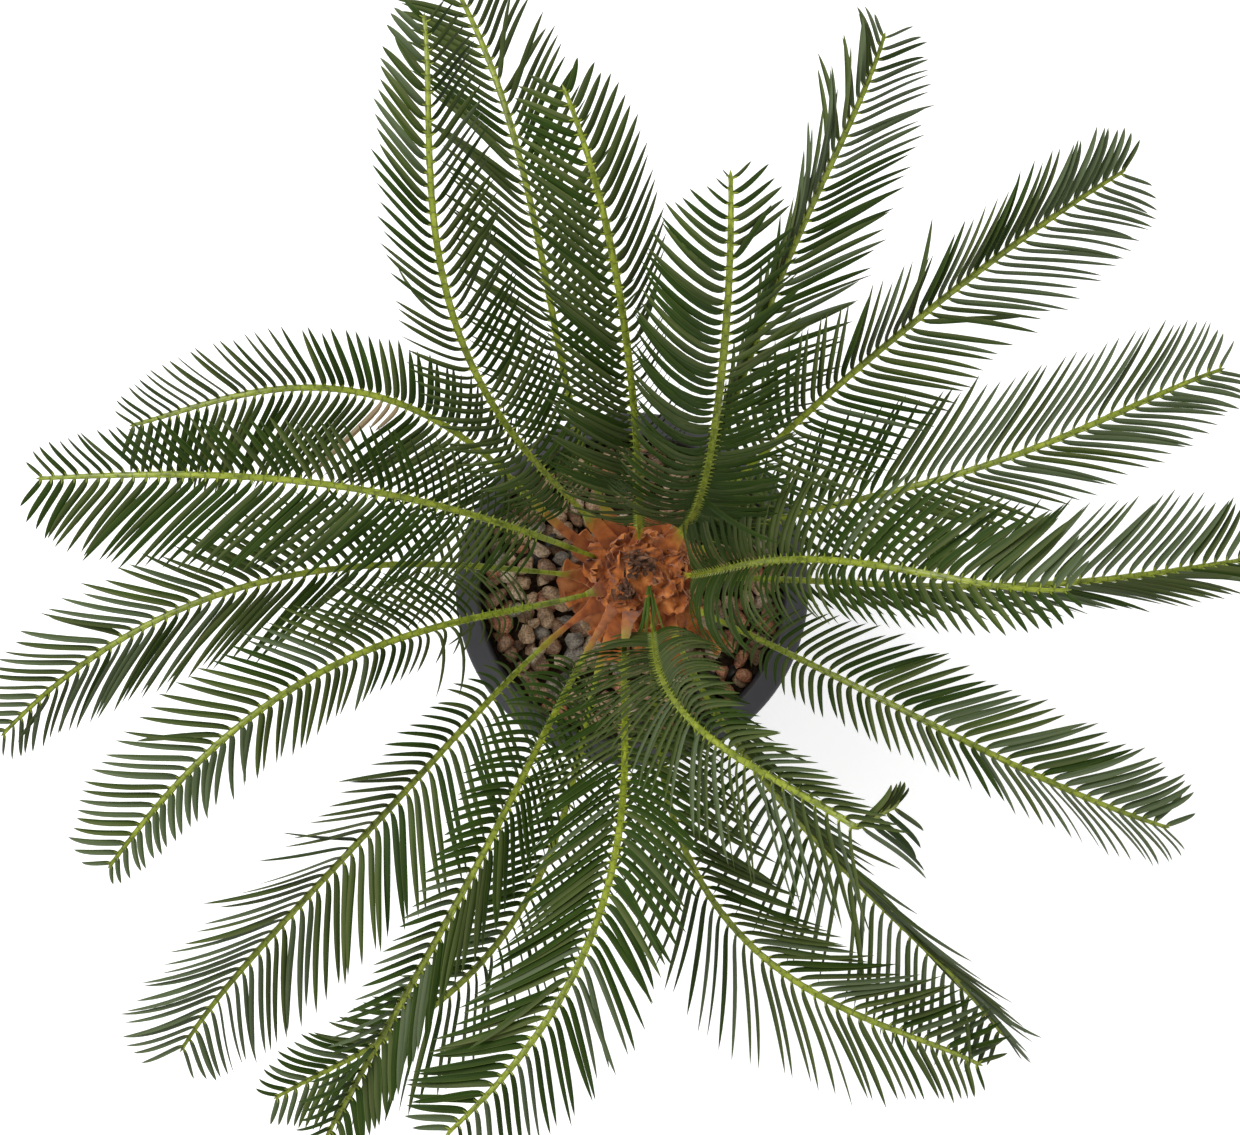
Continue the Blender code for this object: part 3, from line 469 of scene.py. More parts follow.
class Rib:
    """A rachis: its points, directions and sizes at any share of its length."""

    STEPS = 100

    def __init__(self, number):
        ring, bearing, length, bare, headings, rises, leaflet, spread = FRONDS[number]
        self.number = number
        self.length = length
        self.bare = bare / length
        self.leaflet = leaflet
        self.spread = {1: spread[0], -1: spread[1]}
        self.headings = headings
        self.rises = rises
        self.foot = LEANING_FEET.get(number, 0.0)
        shares = (np.arange(self.STEPS) + 0.5) / self.STEPS
        self.points = walked(from_axis(bearing, *ring), self.direction(shares) * (length / self.STEPS))

    def angles(self, share):
        """Heading and rise in radians."""
        heading = through(self.headings, share)
        rise = through(self.rises, share)
        rise = np.where(share * self.length < self.foot, FOOT_RISE, rise)
        if self.number == FOLDED_FROND:
            turned = through(self.headings, np.array(FOLD_AT)) + FOLD_TURN
            heading = np.where(share > FOLD_AT, turned, heading)
            rise = np.where(share > FOLD_AT, FOLD_DIVE, rise)
        return np.radians(heading), np.radians(rise)

    def direction(self, share):
        """Unit vector along the rachis."""
        return aimed(*self.angles(share))

    def point(self, share):
        """Point on the rachis's axis. Below 0 it runs straight on down into the crown."""
        grid = np.linspace(0.0, 1.0, self.STEPS + 1)
        inside = np.clip(share, 0.0, 1.0)
        places = np.stack([np.interp(inside, grid, self.points[:, k]) for k in range(3)], axis=-1)
        below = np.minimum(share, 0.0)
        return places + below[..., None] * self.length * self.direction(np.zeros_like(share))

    def frame(self, share):
        """Directions along the rachis, to its left, and out of the frond's upper face."""
        share = np.maximum(share, 0.0)
        heading, _ = self.angles(share)
        along = self.direction(share)
        left = np.stack((-np.sin(heading), np.cos(heading), np.zeros_like(heading)), axis=-1)
        return along, left, np.cross(along, left)

    def half_size(self, share):
        """Half the rachis's width and depth."""
        taper = np.interp(share, RIB_PLACES, RIB_SIZES)
        least, run = SLIM_FEET.get(self.number, (0.85, 0.120))
        above = share * self.length - FELTS.get(self.number, FELT)[0] + 0.006
        taper = taper * np.interp(above, (0.0, run), (least, 1.0))
        return RIB_WIDTH / 2 * taper, RIB_DEPTH / 2 * taper

    def leaflet_places(self):
        """Shares of the blade and of the rachis where a leaflet pair stands."""
        near, far = LEAFLET_CROWDING
        total = math.log(far / near) / (far - near)
        spacing = LEAFLET_SPACING * CROWDING.get(self.number, 1.0)
        count = round(self.length * (1.0 - self.bare) / spacing * total)
        blade = near * ((far / near) ** ((np.arange(count) + 0.5) / count) - 1.0) / (far - near)
        return blade, self.bare + (1.0 - self.bare) * blade


def leaflet_length(share):
    """Length of a leaflet, as a share of the frond's longest, at a share of the blade."""
    tip = TIP_LEAST + (1.0 - TIP_LEAST) * np.minimum((1.0 - share) / TIP_RUN, 1.0) ** TIP_POWER
    foot = FOOT_LEAST + (1.0 - FOOT_LEAST) * np.sin(math.pi / 2 * np.minimum(share / FOOT_RUN, 1.0))
    return np.minimum(tip, foot)


def clumps(rng, count):
    """For each leaflet of a side, its place in a clump of one to four, counted from the middle."""
    places = []
    while len(places) < count:
        size = rng.choice((1, 2, 3, 4), p=CLUMP_CHANCES)
        places += [i - (size - 1) / 2 for i in range(size)]
    return np.array(places[:count])


def blade(axis, across, face, width, fold):
    """Four points at each station of a leaflet: its edges, which hang below the midline by fold as a
    share of its half width, the midline between them and its underside."""
    side = across * width[..., None]
    droop = face * (width * fold)[..., None]
    under = face * (LEAFLET_THICKNESS * (1.0 - 0.75 * STATIONS))[:, None]
    return np.stack((axis - side - droop, axis, axis + side - droop, axis - under), axis=-2)


def leaflet_stances(rib, side, share, place, rng):
    """Length of each leaflet of a side, and in degrees how far it opens, lifts and curls, what its
    clump adds to its opening, and how steeply it rises."""
    key = rib.number, side
    _, slant, reach, rise, _ = SIDES[key]
    count = len(share)
    length = rib.leaflet * leaflet_length(share) * rng.normal(1.0, UNEVEN_LENGTH, count)
    length = length * np.interp(share, STRETCHES, reach)
    spread = np.interp(share, STRETCHES, BUNDLES.get(key, (rib.spread[side],) * 3))
    closed = 1.0 - TIP_CLOSING[0] * np.exp(-(1.0 - place) * rib.length / TIP_CLOSING[1])
    opening = through(LEAFLET_ANGLES, share) * spread * closed + rng.normal(0, UNEVEN_OPENING, count)
    opening = opening + np.interp(share, STRETCHES, slant) * closed
    lift = BUNDLED_LIFT * (1.0 - spread) + rng.normal(0, UNEVEN_LIFT, count)
    gather = clumps(rng, count) * rng.uniform(*CLUMP_GATHER, count)
    stray = rng.random(count) < STRAYS
    opening = opening + np.where(stray, rng.normal(0, STRAY_BY[0], count), 0.0)
    lift = lift + np.where(stray, rng.normal(0, STRAY_BY[1], count), 0.0)
    curl = rng.normal(0, UNEVEN_CURL, count) + np.where(stray, rng.normal(0, STRAY_BY[2], count), 0.0)
    until, least = SHORT_FEET.get(rib.number, (1e-6, 1.0))
    length = length * np.interp(share, (0.0, until), (least, 1.0))
    for at, factor, swing in ODD_LEAFLETS.get(key, ()):
        odd = int(np.argmin(np.abs(share - at)))
        length[odd] *= factor
        opening[odd] += swing
    if key in BUNDLES:
        opening = opening + rng.normal(0, BUNDLE_LOOSE[0], count)
        curl = curl + rng.normal(0, BUNDLE_LOOSE[1], count)
    return length, opening, lift, curl, gather, np.interp(share, (0.0, 1.0), rise)


def leaflet_widths(key, share, length, seen, rng):
    """Half the width of each leaflet."""
    narrow = NARROW_LEAST + (1.0 - NARROW_LEAST) * np.minimum(1.0, length / NARROW_BELOW)
    foot = FOOT_NARROW[0] + (1.0 - FOOT_NARROW[0]) * np.minimum(1.0, share / FOOT_NARROW[1])
    broad = LEAFLET_WIDTH / 2 * narrow * foot * np.maximum(seen, 1.0)
    broad = broad * rng.normal(1.0, UNEVEN_WIDTH, len(share))
    until, factor = BROAD.get(key, (0.0, 1.0))
    return np.where(share < until, broad * factor, broad)


def leaflets(rib, side, rng):
    """Points (leaflets, rings, 4, 3), UVs and root data of one side of a frond."""
    share, place = rib.leaflet_places()
    count = len(share)
    place = place + rng.normal(0, UNEVEN_PLACE, count) / rib.length + side * PAIR_SHIFT / rib.length
    place = np.minimum(place, 1.0)
    along, left, up = rib.frame(place)
    half_width, _ = rib.half_size(place)
    root = rib.point(place) + left * side * (half_width * ROOT_OUT)[:, None]
    length, *stances = leaflet_stances(rib, side, share, place, rng)
    opening, lift, curl, gather, raised = (degrees[:, None] for degrees in stances)
    along, outward, up = (way[:, None, :] for way in (along, left * side, up))

    def heading(at):
        open_at = np.radians(opening + LEAFLET_SWEEP[0] + LEAFLET_SWEEP[1] * at + gather * at
                             + LEAFLET_ELBOW[0] * np.exp(-at * length[:, None] / LEAFLET_ELBOW[1]))
        lift_at = np.radians(lift + LEAFLET_ARCH[0] + (LEAFLET_ARCH[1] + curl) * at)[..., None]
        level = outward * np.cos(lift_at) + up * np.sin(lift_at)
        way = along * np.cos(open_at)[..., None] + level * np.sin(open_at)[..., None]
        steep = np.radians(raised * (1.0 - RAISED_BEND * at))[..., None]
        return unit(way * np.cos(steep) + up * np.sin(steep))

    middle = (STATIONS[1:] + STATIONS[:-1]) / 2
    axis = walked(root, heading(middle) * (length[:, None] * np.diff(STATIONS))[..., None])
    tangent = heading(STATIONS)
    face = np.array((0.0, 0.0, 1.0)) + LEAFLET_LEVEL * up
    face = unit(face - (face * tangent).sum(axis=-1, keepdims=True) * tangent)
    across = np.cross(tangent, face) * side
    seen = np.interp(share, STRETCHES, SIDES[rib.number, side][0])
    edged = np.degrees(np.arccos(np.minimum(seen, 1.0))) + rng.normal(0, UNEVEN_TURN, count)
    twist = edged[:, None] + rng.normal(0, UNEVEN_TWIST, count)[:, None] * STATIONS
    twist = np.radians(twist)[..., None]
    cos, sin = np.cos(twist), np.sin(twist)
    across, face = across * cos + face * sin, face * cos - across * sin
    width = leaflet_widths((rib.number, side), share, length, seen, rng)[:, None] * OUTLINE
    points = blade(axis, across, face, width, math.tan(math.radians(LEAFLET_FOLD)))
    fit_in_box(points, root)
    offsets = rng.integers(0, 400, count)[:, None, None]
    uvs = grid_uvs(BLADE_U + offsets, (STATIONS * length[:, None])[..., None])
    return points, uvs, root, tangent[:, 0], place


def fit_in_box(points, root):
    """Shorten the leaflets that would reach out of the CAD's box."""
    low, high = np.array(CAD_LOW), np.array(CAD_HIGH)
    reach = points - root[:, None, None, :]
    furthest = reach.reshape(len(points), -1, 3)
    over = (furthest.max(axis=1) / np.maximum(high - root, 1e-6)).max(axis=1)
    under = (furthest.min(axis=1) / np.minimum(low - root, -1e-6)).max(axis=1)
    factor = 1.0 / np.maximum(1.0, np.maximum(over, under) * 1.001)
    points[:] = root[:, None, None, :] + reach * factor[:, None, None, None]


def round_uvs(around, metres, offset):
    """UVs of rings: how far up the side, plus an offset, and the place along the rachis."""
    return grid_uvs(0.5 + 0.45 * np.sin(np.arange(around) / around * math.tau) + offset, metres[:, None])


def rachis(rib, heap, rng):
    """The rachis with its knobs and joints."""
    _, place = rib.leaflet_places()
    start = (FELTS.get(rib.number, FELT)[0] - RIB_UNDER_FELT) / rib.length
    stations = np.linspace(start, 1.0, int((1.0 - start) * rib.length / RIB_STEP))
    along, left, up = rib.frame(stations)
    centre = rib.point(stations)
    width, depth = rib.half_size(stations)
    metres = stations * rib.length
    apart = np.abs(stations[:, None] - place).min(axis=1) * rib.length
    knob = 1.0 + KNOB * np.exp(-(apart / KNOB_LENGTH) ** 2)
    joint = np.abs((metres / JOINT_EVERY + 0.5) % 1.0 - 0.5) * JOINT_EVERY
    collar = 1.0 - JOINT_DEPTH * np.exp(-(joint / JOINT_LENGTH) ** 2)
    tip = np.clip((1.0 - stations) * rib.length / RIB_TIP[0], RIB_TIP[1], 1.0)
    points = tube(centre, left, up, width * knob * collar * tip, depth * collar * tip, RIB_SIDES, 0.85)
    heap.add(points, loft_faces(len(stations), RIB_SIDES),
             round_uvs(RIB_SIDES, metres, rng.integers(0, 400)))


def sockets(rib, place, root, tangent, heap):
    """Oblique knobs along the rachis that the leaflets grow out of."""
    around = 6
    faces = loft_faces(len(SOCKET_SIZES), around)
    along, _, up = rib.frame(place)
    width, depth = rib.half_size(place)
    path = np.stack([root + along * behind + tangent * ahead + up * (depth * raised)[:, None]
                     for behind, ahead, raised in SOCKET_PATH], axis=1)
    way = unit(np.gradient(path, axis=1))
    side = unit(np.cross(way, up[:, None, :]))
    above = np.cross(side, way)
    size = (0.30 * width + 0.00045)[:, None] * SOCKET_SIZES
    metres = 0.006 + np.linspace(0.0, 0.009, len(SOCKET_SIZES))
    for i, points in enumerate(tube(path, side, above, size, size * 0.9, around)):
        heap.add(points, faces, round_uvs(around, metres, i))


def sheet_faces(rows, columns):
    """Faces of a closed sheet: top grid, under grid, and the rim between them."""
    grid = np.arange(rows * columns).reshape(rows, columns)
    under = rows * columns
    faces = []
    quads = np.stack((grid[:-1, :-1], grid[:-1, 1:], grid[1:, 1:], grid[1:, :-1]), axis=-1)
    for a, b, c, d in quads.reshape(-1, 4):
        faces += [(a, b, c, d), (under + d, under + c, under + b, under + a)]
    rim = [*grid[0], *grid[1:, -1], *grid[-1, -2::-1], *grid[-2:0:-1, 0]]
    return faces + [(b, a, under + a, under + b) for a, b in zip(rim, rim[1:] + rim[:1])]


def felt_sheet(heap, centre, across, normal, half, thick, cup, crumple, seed, columns, lengths,
               lump=0.0055, folds=(0.0, 1.0)):
    """A crumpled sheet of felt along a line: cup bends its sides up, crumple is the noise's height,
    lump its size, lengths run along it in its UVs, and folds are the height and number of the waves
    across it."""
    rows = len(centre)
    v = np.linspace(-1.0, 1.0, columns)
    thick = np.broadcast_to(thick, (rows,))
    top = (centre[:, None, :] + across[:, None, :] * (half[:, None] * v)[..., None]
           + normal[:, None, :] * ((cup * half)[:, None] * (v ** 2 - 0.4))[..., None])
    wave = np.sin(v * math.pi * folds[1] + seed + np.linspace(0, 1.5, rows)[:, None])
    top = top + normal[:, None, :] * (folds[0] * wave * np.linspace(0.3, 1.0, rows)[:, None])[..., None]
    flat = top.reshape(-1, 3)
    bumps = rough(flat, lump, seed) * crumple + rough(flat, lump * 0.4, seed + 5) * crumple * 0.4
    spread = np.repeat(normal, columns, axis=0)
    sideways = np.repeat(across, columns, axis=0)
    edge = np.tile(np.abs(v), rows) ** 3
    flat = flat + spread * bumps[:, None]
    flat = flat + sideways * (rough(flat, 0.0035, seed + 9) * edge * crumple)[:, None]
    rim = 1.0 - 0.75 * np.tile(np.abs(v), rows) ** 4
    under = flat - spread * (np.repeat(thick, columns) * rim)[:, None]
    uvs = grid_uvs(v * 0.5 + 0.5 + round(seed * 7) * 3.7, lengths[:, None])
    heap.add(np.vstack((flat, under)), sheet_faces(rows, columns), np.stack((uvs, uvs)))


def petiole_felt(rib, heap, seed):
    """The flared felt at the foot of a petiole."""
    wrap, broad, narrowing = FELTS.get(rib.number, FELT)
    metres = np.linspace(-0.010, wrap, 30)
    shares = metres / rib.length
    along, left, up = rib.frame(shares)
    centre = rib.point(shares)
    width, depth = rib.half_size(shares)
    flare = np.exp(-np.maximum(metres - CROWN_EDGE, 0.0) / narrowing)
    fade = np.clip((wrap - metres) / 0.016, 0.0, 1.0) ** 0.7
    half = width * (1.02 + 0.12 * fade) + (broad - RIB_WIDTH / 2) * flare * fade
    centre = centre + up * (depth * (0.75 + 0.35 * fade))[:, None]
    thick = depth * 2.0 + 0.001 * flare
    cup = 0.16 * flare - 0.45 * (1.0 - flare)
    felt_sheet(heap, centre, left, up, half, thick, cup, 0.0008, seed, 13,
               np.clip(metres / wrap, 0.0, 1.0))


# Trunk, crown and cut leaf bases

def trunk_radius(height):
    """Radius of the trunk at a height."""
    share = (height - TRUNK_FOOT) / (TRUNK_TOP - TRUNK_FOOT)
    shares, radii = zip(*TRUNK_PROFILE)
    return np.interp(share, shares, radii)


def trunk_relief(heap):
    """The trunk's skin: rows of old leaf bases in two crossing spirals, under felt."""
    rows, around = 90, 160
    heights = np.linspace(TRUNK_FOOT, TRUNK_TOP - 0.0008, rows)
    turns = np.arange(around) / around * math.tau
    points = np.zeros((rows, around, 3))
    for i, height in enumerate(heights):
        radius = trunk_radius(height)
        climb = (height - TRUNK_FOOT) / SPIRAL_CLIMB * math.pi
        steep = np.cos(turns * SPIRALS[0] + climb) * np.cos(turns * SPIRALS[1] - climb * SPIRAL_SLOPE)
        ring = radius - SKIN_SINK + np.clip(steep, -0.4, 1.0) * RELIEF * min(1.0, radius / 0.03)
        points[i, :, :2] = axis_at(height) + np.stack((ring * np.cos(turns), ring * np.sin(turns)), axis=1)
        points[i, :, 2] = height
    flat = points.reshape(-1, 3)
    outward = flat - np.array((*CROWN_OFFSET, 0.0))
    outward[:, 2] = 0.0
    outward = unit(outward + 1e-9)
    fine = rough(flat, 0.006, 3.0) * 0.0009 + rough(flat, 0.0024, 8.0) * 0.0004
    fine[:around] = 0.0
    uvs = grid_uvs(turns / math.tau * 6, (heights - TRUNK_FOOT)[:, None])
    heap.add(flat + outward * fine[:, None], loft_faces(rows, around), uvs)


def scale(heap, bearing, radius, height, length, half_width, lean, curl, seed, turn=0.0, large=False):
    """One felt scale that stands on the trunk, leaning out by lean and curling by curl, in degrees.
    Turn swings it sideways about its foot. A large one is a torn, folded sheet."""
    rows, columns = (15, 17) if large else (9, 7)
    share = np.linspace(0.0, 1.0, rows)
    angle = math.radians(bearing + turn)
    outward = np.array((math.cos(angle), math.sin(angle), 0.0))
    sideways = np.array((-math.sin(angle), math.cos(angle), 0.0))
    rise = np.radians(90 - lean - curl * share)
    step = length / (rows - 1)
    path = outward * np.cos(rise)[:, None]
    path[:, 2] += np.sin(rise)
    centre = from_axis(bearing, radius, height) + np.cumsum(path * step, axis=0) - path[0] * step
    across = np.broadcast_to(sideways, path.shape)
    normal = unit(np.cross(path, across))
    if large:
        half = half_width * np.interp(share, (0, 0.3, 0.7, 0.9, 1.0), (0.75, 1.0, 0.95, 0.7, 0.35))
        half = half * (1.0 + 0.22 * rough(centre, 0.004, seed))
        felt_sheet(heap, centre, across, normal, half, 0.0010, 0.30, 0.0028, seed, columns, share, 0.0085,
                   (0.0022, 1.0 + seed % 1.7))
        return
    half = half_width * np.interp(share, (0, 0.25, 0.6, 0.85, 1.0), (0.9, 1.0, 0.8, 0.42, 0.06))
    felt_sheet(heap, centre, across, normal, half, 0.0011, 0.35, 0.0011, seed, columns, share)


def crown_scales(heap, rng):
    """Torn sheets and crumpled scales in a whorl round the growing point, and down the trunk."""
    for i in range(CROWN_SHEETS):
        share = (i + 0.5) / CROWN_SHEETS
        radius = 0.004 + 0.027 * math.sqrt(share)
        top = np.interp(radius, CROWN_RADII, CROWN_TOPS)
        scale(heap, i * GOLDEN_ANGLE + rng.normal(0, 8), radius, top - 0.004, rng.uniform(0.015, 0.023),
              rng.uniform(0.0075, 0.0125), rng.normal(0, 9) + np.interp(share, (0, 0.3, 1), (14, 34, 58)),
              rng.normal(8, 34), 20 + i * 1.3, rng.normal(0, 28), True)
    for i in range(CROWN_SCALES):
        share = (i + 0.5) / CROWN_SCALES
        radius = 0.006 + 0.028 * math.sqrt(share)
        top = np.interp(radius, CROWN_RADII, CROWN_TOPS)
        scale(heap, i * GOLDEN_ANGLE + 70, radius, top - 0.003, rng.uniform(0.010, 0.019),
              rng.uniform(0.0030, 0.0062), rng.normal(0, 14) + np.interp(share, (0, 0.25, 1), (10, 35, 60)),
              rng.normal(5, 50), 70 + i * 1.7, rng.normal(0, 30))
    for i in range(TRUNK_SCALES):
        height = TRUNK_FOOT + 0.004 + (i + 0.5) / TRUNK_SCALES * 0.078
        scale(heap, i * GOLDEN_ANGLE + 40, trunk_radius(height) - 0.0035, height, rng.uniform(0.011, 0.017),
              rng.uniform(0.0045, 0.0066), 18 + rng.normal(0, 6), rng.normal(0, 14), 140 + i * 1.1)


def curled_buds(heap, rng):
    """Dark scales curled up at a few places in the middle of the crown."""
    for east, north, count, size in BUDS:
        for _ in range(count):
            x = east + rng.normal(0, 0.0034) * size
            y = north + rng.normal(0, 0.0030) * size
            height = 0.3625 - 3.0 * (x * x + y * y) + rng.uniform(0.0, 0.004)
            scale(heap, math.degrees(math.atan2(y, x)), math.hypot(x, y), height,
                  rng.uniform(0.007, 0.013) * size, rng.uniform(0.0011, 0.0024), rng.normal(25, 30),
                  rng.normal(0, 140), rng.uniform(0, 900), rng.uniform(-180, 180))


def sprout(heap, rng):
    """A bundle of narrow young leaflets that leans out of the crown's front."""
    faces = loft_faces(len(STATIONS), 4)
    for k in range(YOUNG_LEAFLETS):
        start = np.array(YOUNG_ROOT) + (rng.normal(0, 0.0012), rng.normal(0, 0.0040), 0.0)
        heading = math.radians(YOUNG_HEADINGS[k % 3] + rng.normal(0, 4.0))
        length = rng.uniform(0.038, 0.064)
        rise = np.radians(34 - 45 * STATIONS + rng.normal(0, 5))
        way = aimed(heading + math.radians(rng.normal(0, 6)) * STATIONS, rise)
        axis = walked(start, way[1:] * np.diff(STATIONS)[:, None] * length)
        across = unit(np.cross(way, (rng.normal(0, 0.5), rng.normal(0, 0.5), 1.0)))
        points = blade(axis, across, np.cross(across, way), rng.uniform(0.0006, 0.0011) * OUTLINE, 0.3)
        heap.add(points, faces, grid_uvs(BLADE_U + rng.integers(0, 400), (STATIONS * length)[:, None]))


def fibres(heap, rng):
    """Tufts of fine curly fibres."""
    thin = FIBRE_RADIUS * np.linspace(1.0, 0.35, FIBRE_STEPS + 1)
    faces = loft_faces(FIBRE_STEPS + 1, 3)
    for bearing, radius, height, count, length in FIBRES:
        for _ in range(count):
            path = [from_axis(bearing + rng.normal(0, 9), radius + rng.normal(0, 0.0035), height,
                              rng.normal(0, 0.002))]
            way = unit(rng.normal(0, 1, 3) + np.array((0, 0, 1.4)))
            bend = rng.normal(0, 0.45, 3)
            size = length * rng.uniform(0.6, 1.3) / FIBRE_STEPS
            for _ in range(FIBRE_STEPS):
                path.append(path[-1] + way * size)
                way = unit(way + bend + rng.normal(0, 0.12, 3))
            path = np.array(path)
            tangent = unit(np.gradient(path, axis=0))
            side = unit(np.cross(tangent, (0.31, 0.22, 0.93)))
            heap.add(tube(path, side, np.cross(tangent, side), thin, thin, 3), faces)


def radial_sheet(heap, bearing, height, out, up, half, *sheet):
    """A felt sheet that runs out from the trunk: bearing in degrees, out and up in metres, and the rest
    as for felt_sheet."""
    angle = math.radians(bearing)
    centre = from_axis(bearing, out, height, up)
    along = unit(np.gradient(centre, axis=0))
    across = np.broadcast_to(np.array((-math.sin(angle), math.cos(angle), 0.0)), along.shape)
    felt_sheet(heap, centre, across, np.cross(along, across), half, *sheet)


def leaf_bases(heap):
    """The broad straps of cut leaf bases round the trunk."""
    share = np.linspace(0.0, 1.0, 18)
    lift = LEAF_BASE_CURL * share ** 2
    for number, (bearing, reach, rise) in enumerate(LEAF_BASES):
        tilt = math.radians(rise)
        outward = LEAF_BASE_ROOT + share * (reach - LEAF_BASE_ROOT)
        half = LEAF_BASE_WIDTH / 2 * (1.0 - LEAF_BASE_WAIST * np.sin(math.pi * share))
        half = half * (1.0 + 0.12 * np.sin(share * 9 + number))
        radial_sheet(heap, bearing, LEAF_BASE_HEIGHT, outward * math.cos(tilt) - lift * math.sin(tilt),
                     outward * math.sin(tilt) + lift * math.cos(tilt), half, LEAF_BASE_THICKNESS, 0.25,
                     0.0012, 60 + number * 2.3, 11, share)


def webs(heap):
    """Smooth skirts of felt that join the petioles' feet."""
    share = np.linspace(0.0, 1.0, 16)
    for number, (bearing, reach, half_width, height, rise) in enumerate(WEBS):
        tilt = math.radians(rise) * share - WEB_DROOP * share ** 2
        outward = share * (reach - WEB_ROOT)
        half = half_width * np.interp(share, (0.0, 0.5, 0.90, 1.0), (0.9, 1.0, 0.98, 0.80))
        radial_sheet(heap, bearing, height, WEB_ROOT + outward, outward * np.tan(tilt), half, 0.0014,
                     -0.45, 0.0016, 210 + number * 3.1, 13, share * 0.4, 0.009, (0.0018, 1.3))


# Pebbles

def inner_radius(height):
    """Radius of the space inside the pot at a height."""
    high = POT_HEIGHT - RIM_DEPTH - LEDGE_DROP
    low_radius = FOOT_RADIUS + (WALL_TOP_RADIUS - FOOT_RADIUS) * FLOOR_THICKNESS / (POT_HEIGHT - RIM_DEPTH)
    share = np.minimum((height - FLOOR_THICKNESS) / (high - FLOOR_THICKNESS), 1.0)
    return low_radius - WALL_THICKNESS + (RIM_RADIUS - RIM_WIDTH - low_radius + WALL_THICKNESS) * share


def icosphere(subdivisions):
    """Points and faces of a sphere of radius 1 with near-even triangles."""
    bm = bmesh.new()
    bmesh.ops.create_icosphere(bm, subdivisions=subdivisions, radius=1.0)
    points = np.array([vertex.co[:] for vertex in bm.verts])
    faces = [tuple(vertex.index for vertex in face.verts) for face in bm.faces]
    bm.free()
    return points, faces


def pour(rng, pitch=0.001):
    """Drop stones one by one into the pot, each to the lowest of a few places: centres and sizes."""
    reach = inner_radius(0.245) - 0.0012
    cells = int(2 * reach / pitch) + 3
    line = (np.arange(cells) - cells // 2) * pitch
    heights = np.full((cells, cells), SOIL_TOP)
    grid_x, grid_y = np.meshgrid(line, line, indexing="ij")
    placed = []
    for _ in range(STONES_POURED):
        long = rng.uniform(*STONE_HALF)
        semi = (long, long * rng.uniform(0.68, 0.95), long * rng.uniform(0.50, 0.75))
        turn = rng.uniform(0, math.pi)
        best = None
        for _ in range(STONE_TRIES):
            distance = math.sqrt(rng.uniform(STONE_NEAREST ** 2, (reach - semi[1]) ** 2))
            bearing = rng.uniform(0, math.tau)
            x, y = distance * math.cos(bearing), distance * math.sin(bearing)
            dx, dy = grid_x - x, grid_y - y
            near = (np.abs(dx) < long) & (np.abs(dy) < long)
            u = (dx[near] * math.cos(turn) + dy[near] * math.sin(turn)) / semi[0]
            v = (dy[near] * math.cos(turn) - dx[near] * math.sin(turn)) / semi[1]
            inside = u * u + v * v < 1.0
            if not inside.any():
                continue
            outer = np.hypot(grid_x[near][inside], grid_y[near][inside])
            if outer.max() > reach or outer.min() < STONE_EDGE:
                continue
            drop = semi[2] * np.sqrt(1.0 - u[inside] ** 2 - v[inside] ** 2)
            rest = (heights[near][inside] + drop).max()
            if best is None or rest < best[0]:
                best = (rest, x, y, near, inside, drop)
        if best is None or best[0] + semi[2] > STONES_TOP:
            continue
        rest, x, y, near, inside, drop = best
        column = heights[near]
        column[inside] = np.maximum(column[inside], rest + drop)
        heights[near] = column
        placed.append(((x, y, rest - 0.0006), semi, turn))
    return placed


def turned(points, first, second, angle):
    """Points turned from one axis towards another."""
    cos, sin = math.cos(angle), math.sin(angle)
    a, b = points[:, first].copy(), points[:, second].copy()
    points[:, first], points[:, second] = a * cos - b * sin, a * sin + b * cos


def pebbles(rounded, broken, rng):
    """Poured stones: some are rounded, the others broken with flat sides."""
    sphere, faces = icosphere(2)
    chances = [chance for _, chance, *_ in STONES]
    for centre, semi, turn in pour(rng):
        chipped = rng.random() < STONES_BROKEN
        seed = rng.uniform(0, 900)
        square = rng.uniform(0.72, 1.0)
        shape = np.sign(sphere) * np.abs(sphere) ** square
        shape = shape / np.abs(shape).max(axis=0)
        wave = rough(sphere, 0.9, seed) * 0.16 + rough(sphere, 0.42, seed + 3) * 0.05
        shape = shape * (1.0 + wave)[:, None]
        if chipped:
            for _ in range(STONE_CHIPS):
                way = unit(rng.normal(0, 1, 3))
                level = rng.uniform(0.45, 0.80)
                above = np.maximum(shape @ way - level, 0.0)
                shape = shape - above[:, None] * way
        points = shape * np.array(semi) * 1.08
        turned(points, 1, 2, rng.normal(0, 0.22))
        turned(points, 0, 2, rng.normal(0, 0.15))
        turned(points, 0, 1, turn)
        points = points + np.array(centre)
        points[:, 2] = np.maximum(points[:, 2], SOIL_TOP + 0.0003)
        heap = broken if chipped else rounded
        heap.add(points, faces, None, int(rng.choice(len(STONES), p=chances)))


# Pot

def corner(centre, radius, start, end, steps):
    """Points of a rounded corner in a profile, angles in degrees."""
    angles = np.radians(np.linspace(start, end, steps + 1))
    return [(centre[0] + radius * math.cos(a), centre[1] + radius * math.sin(a)) for a in angles]


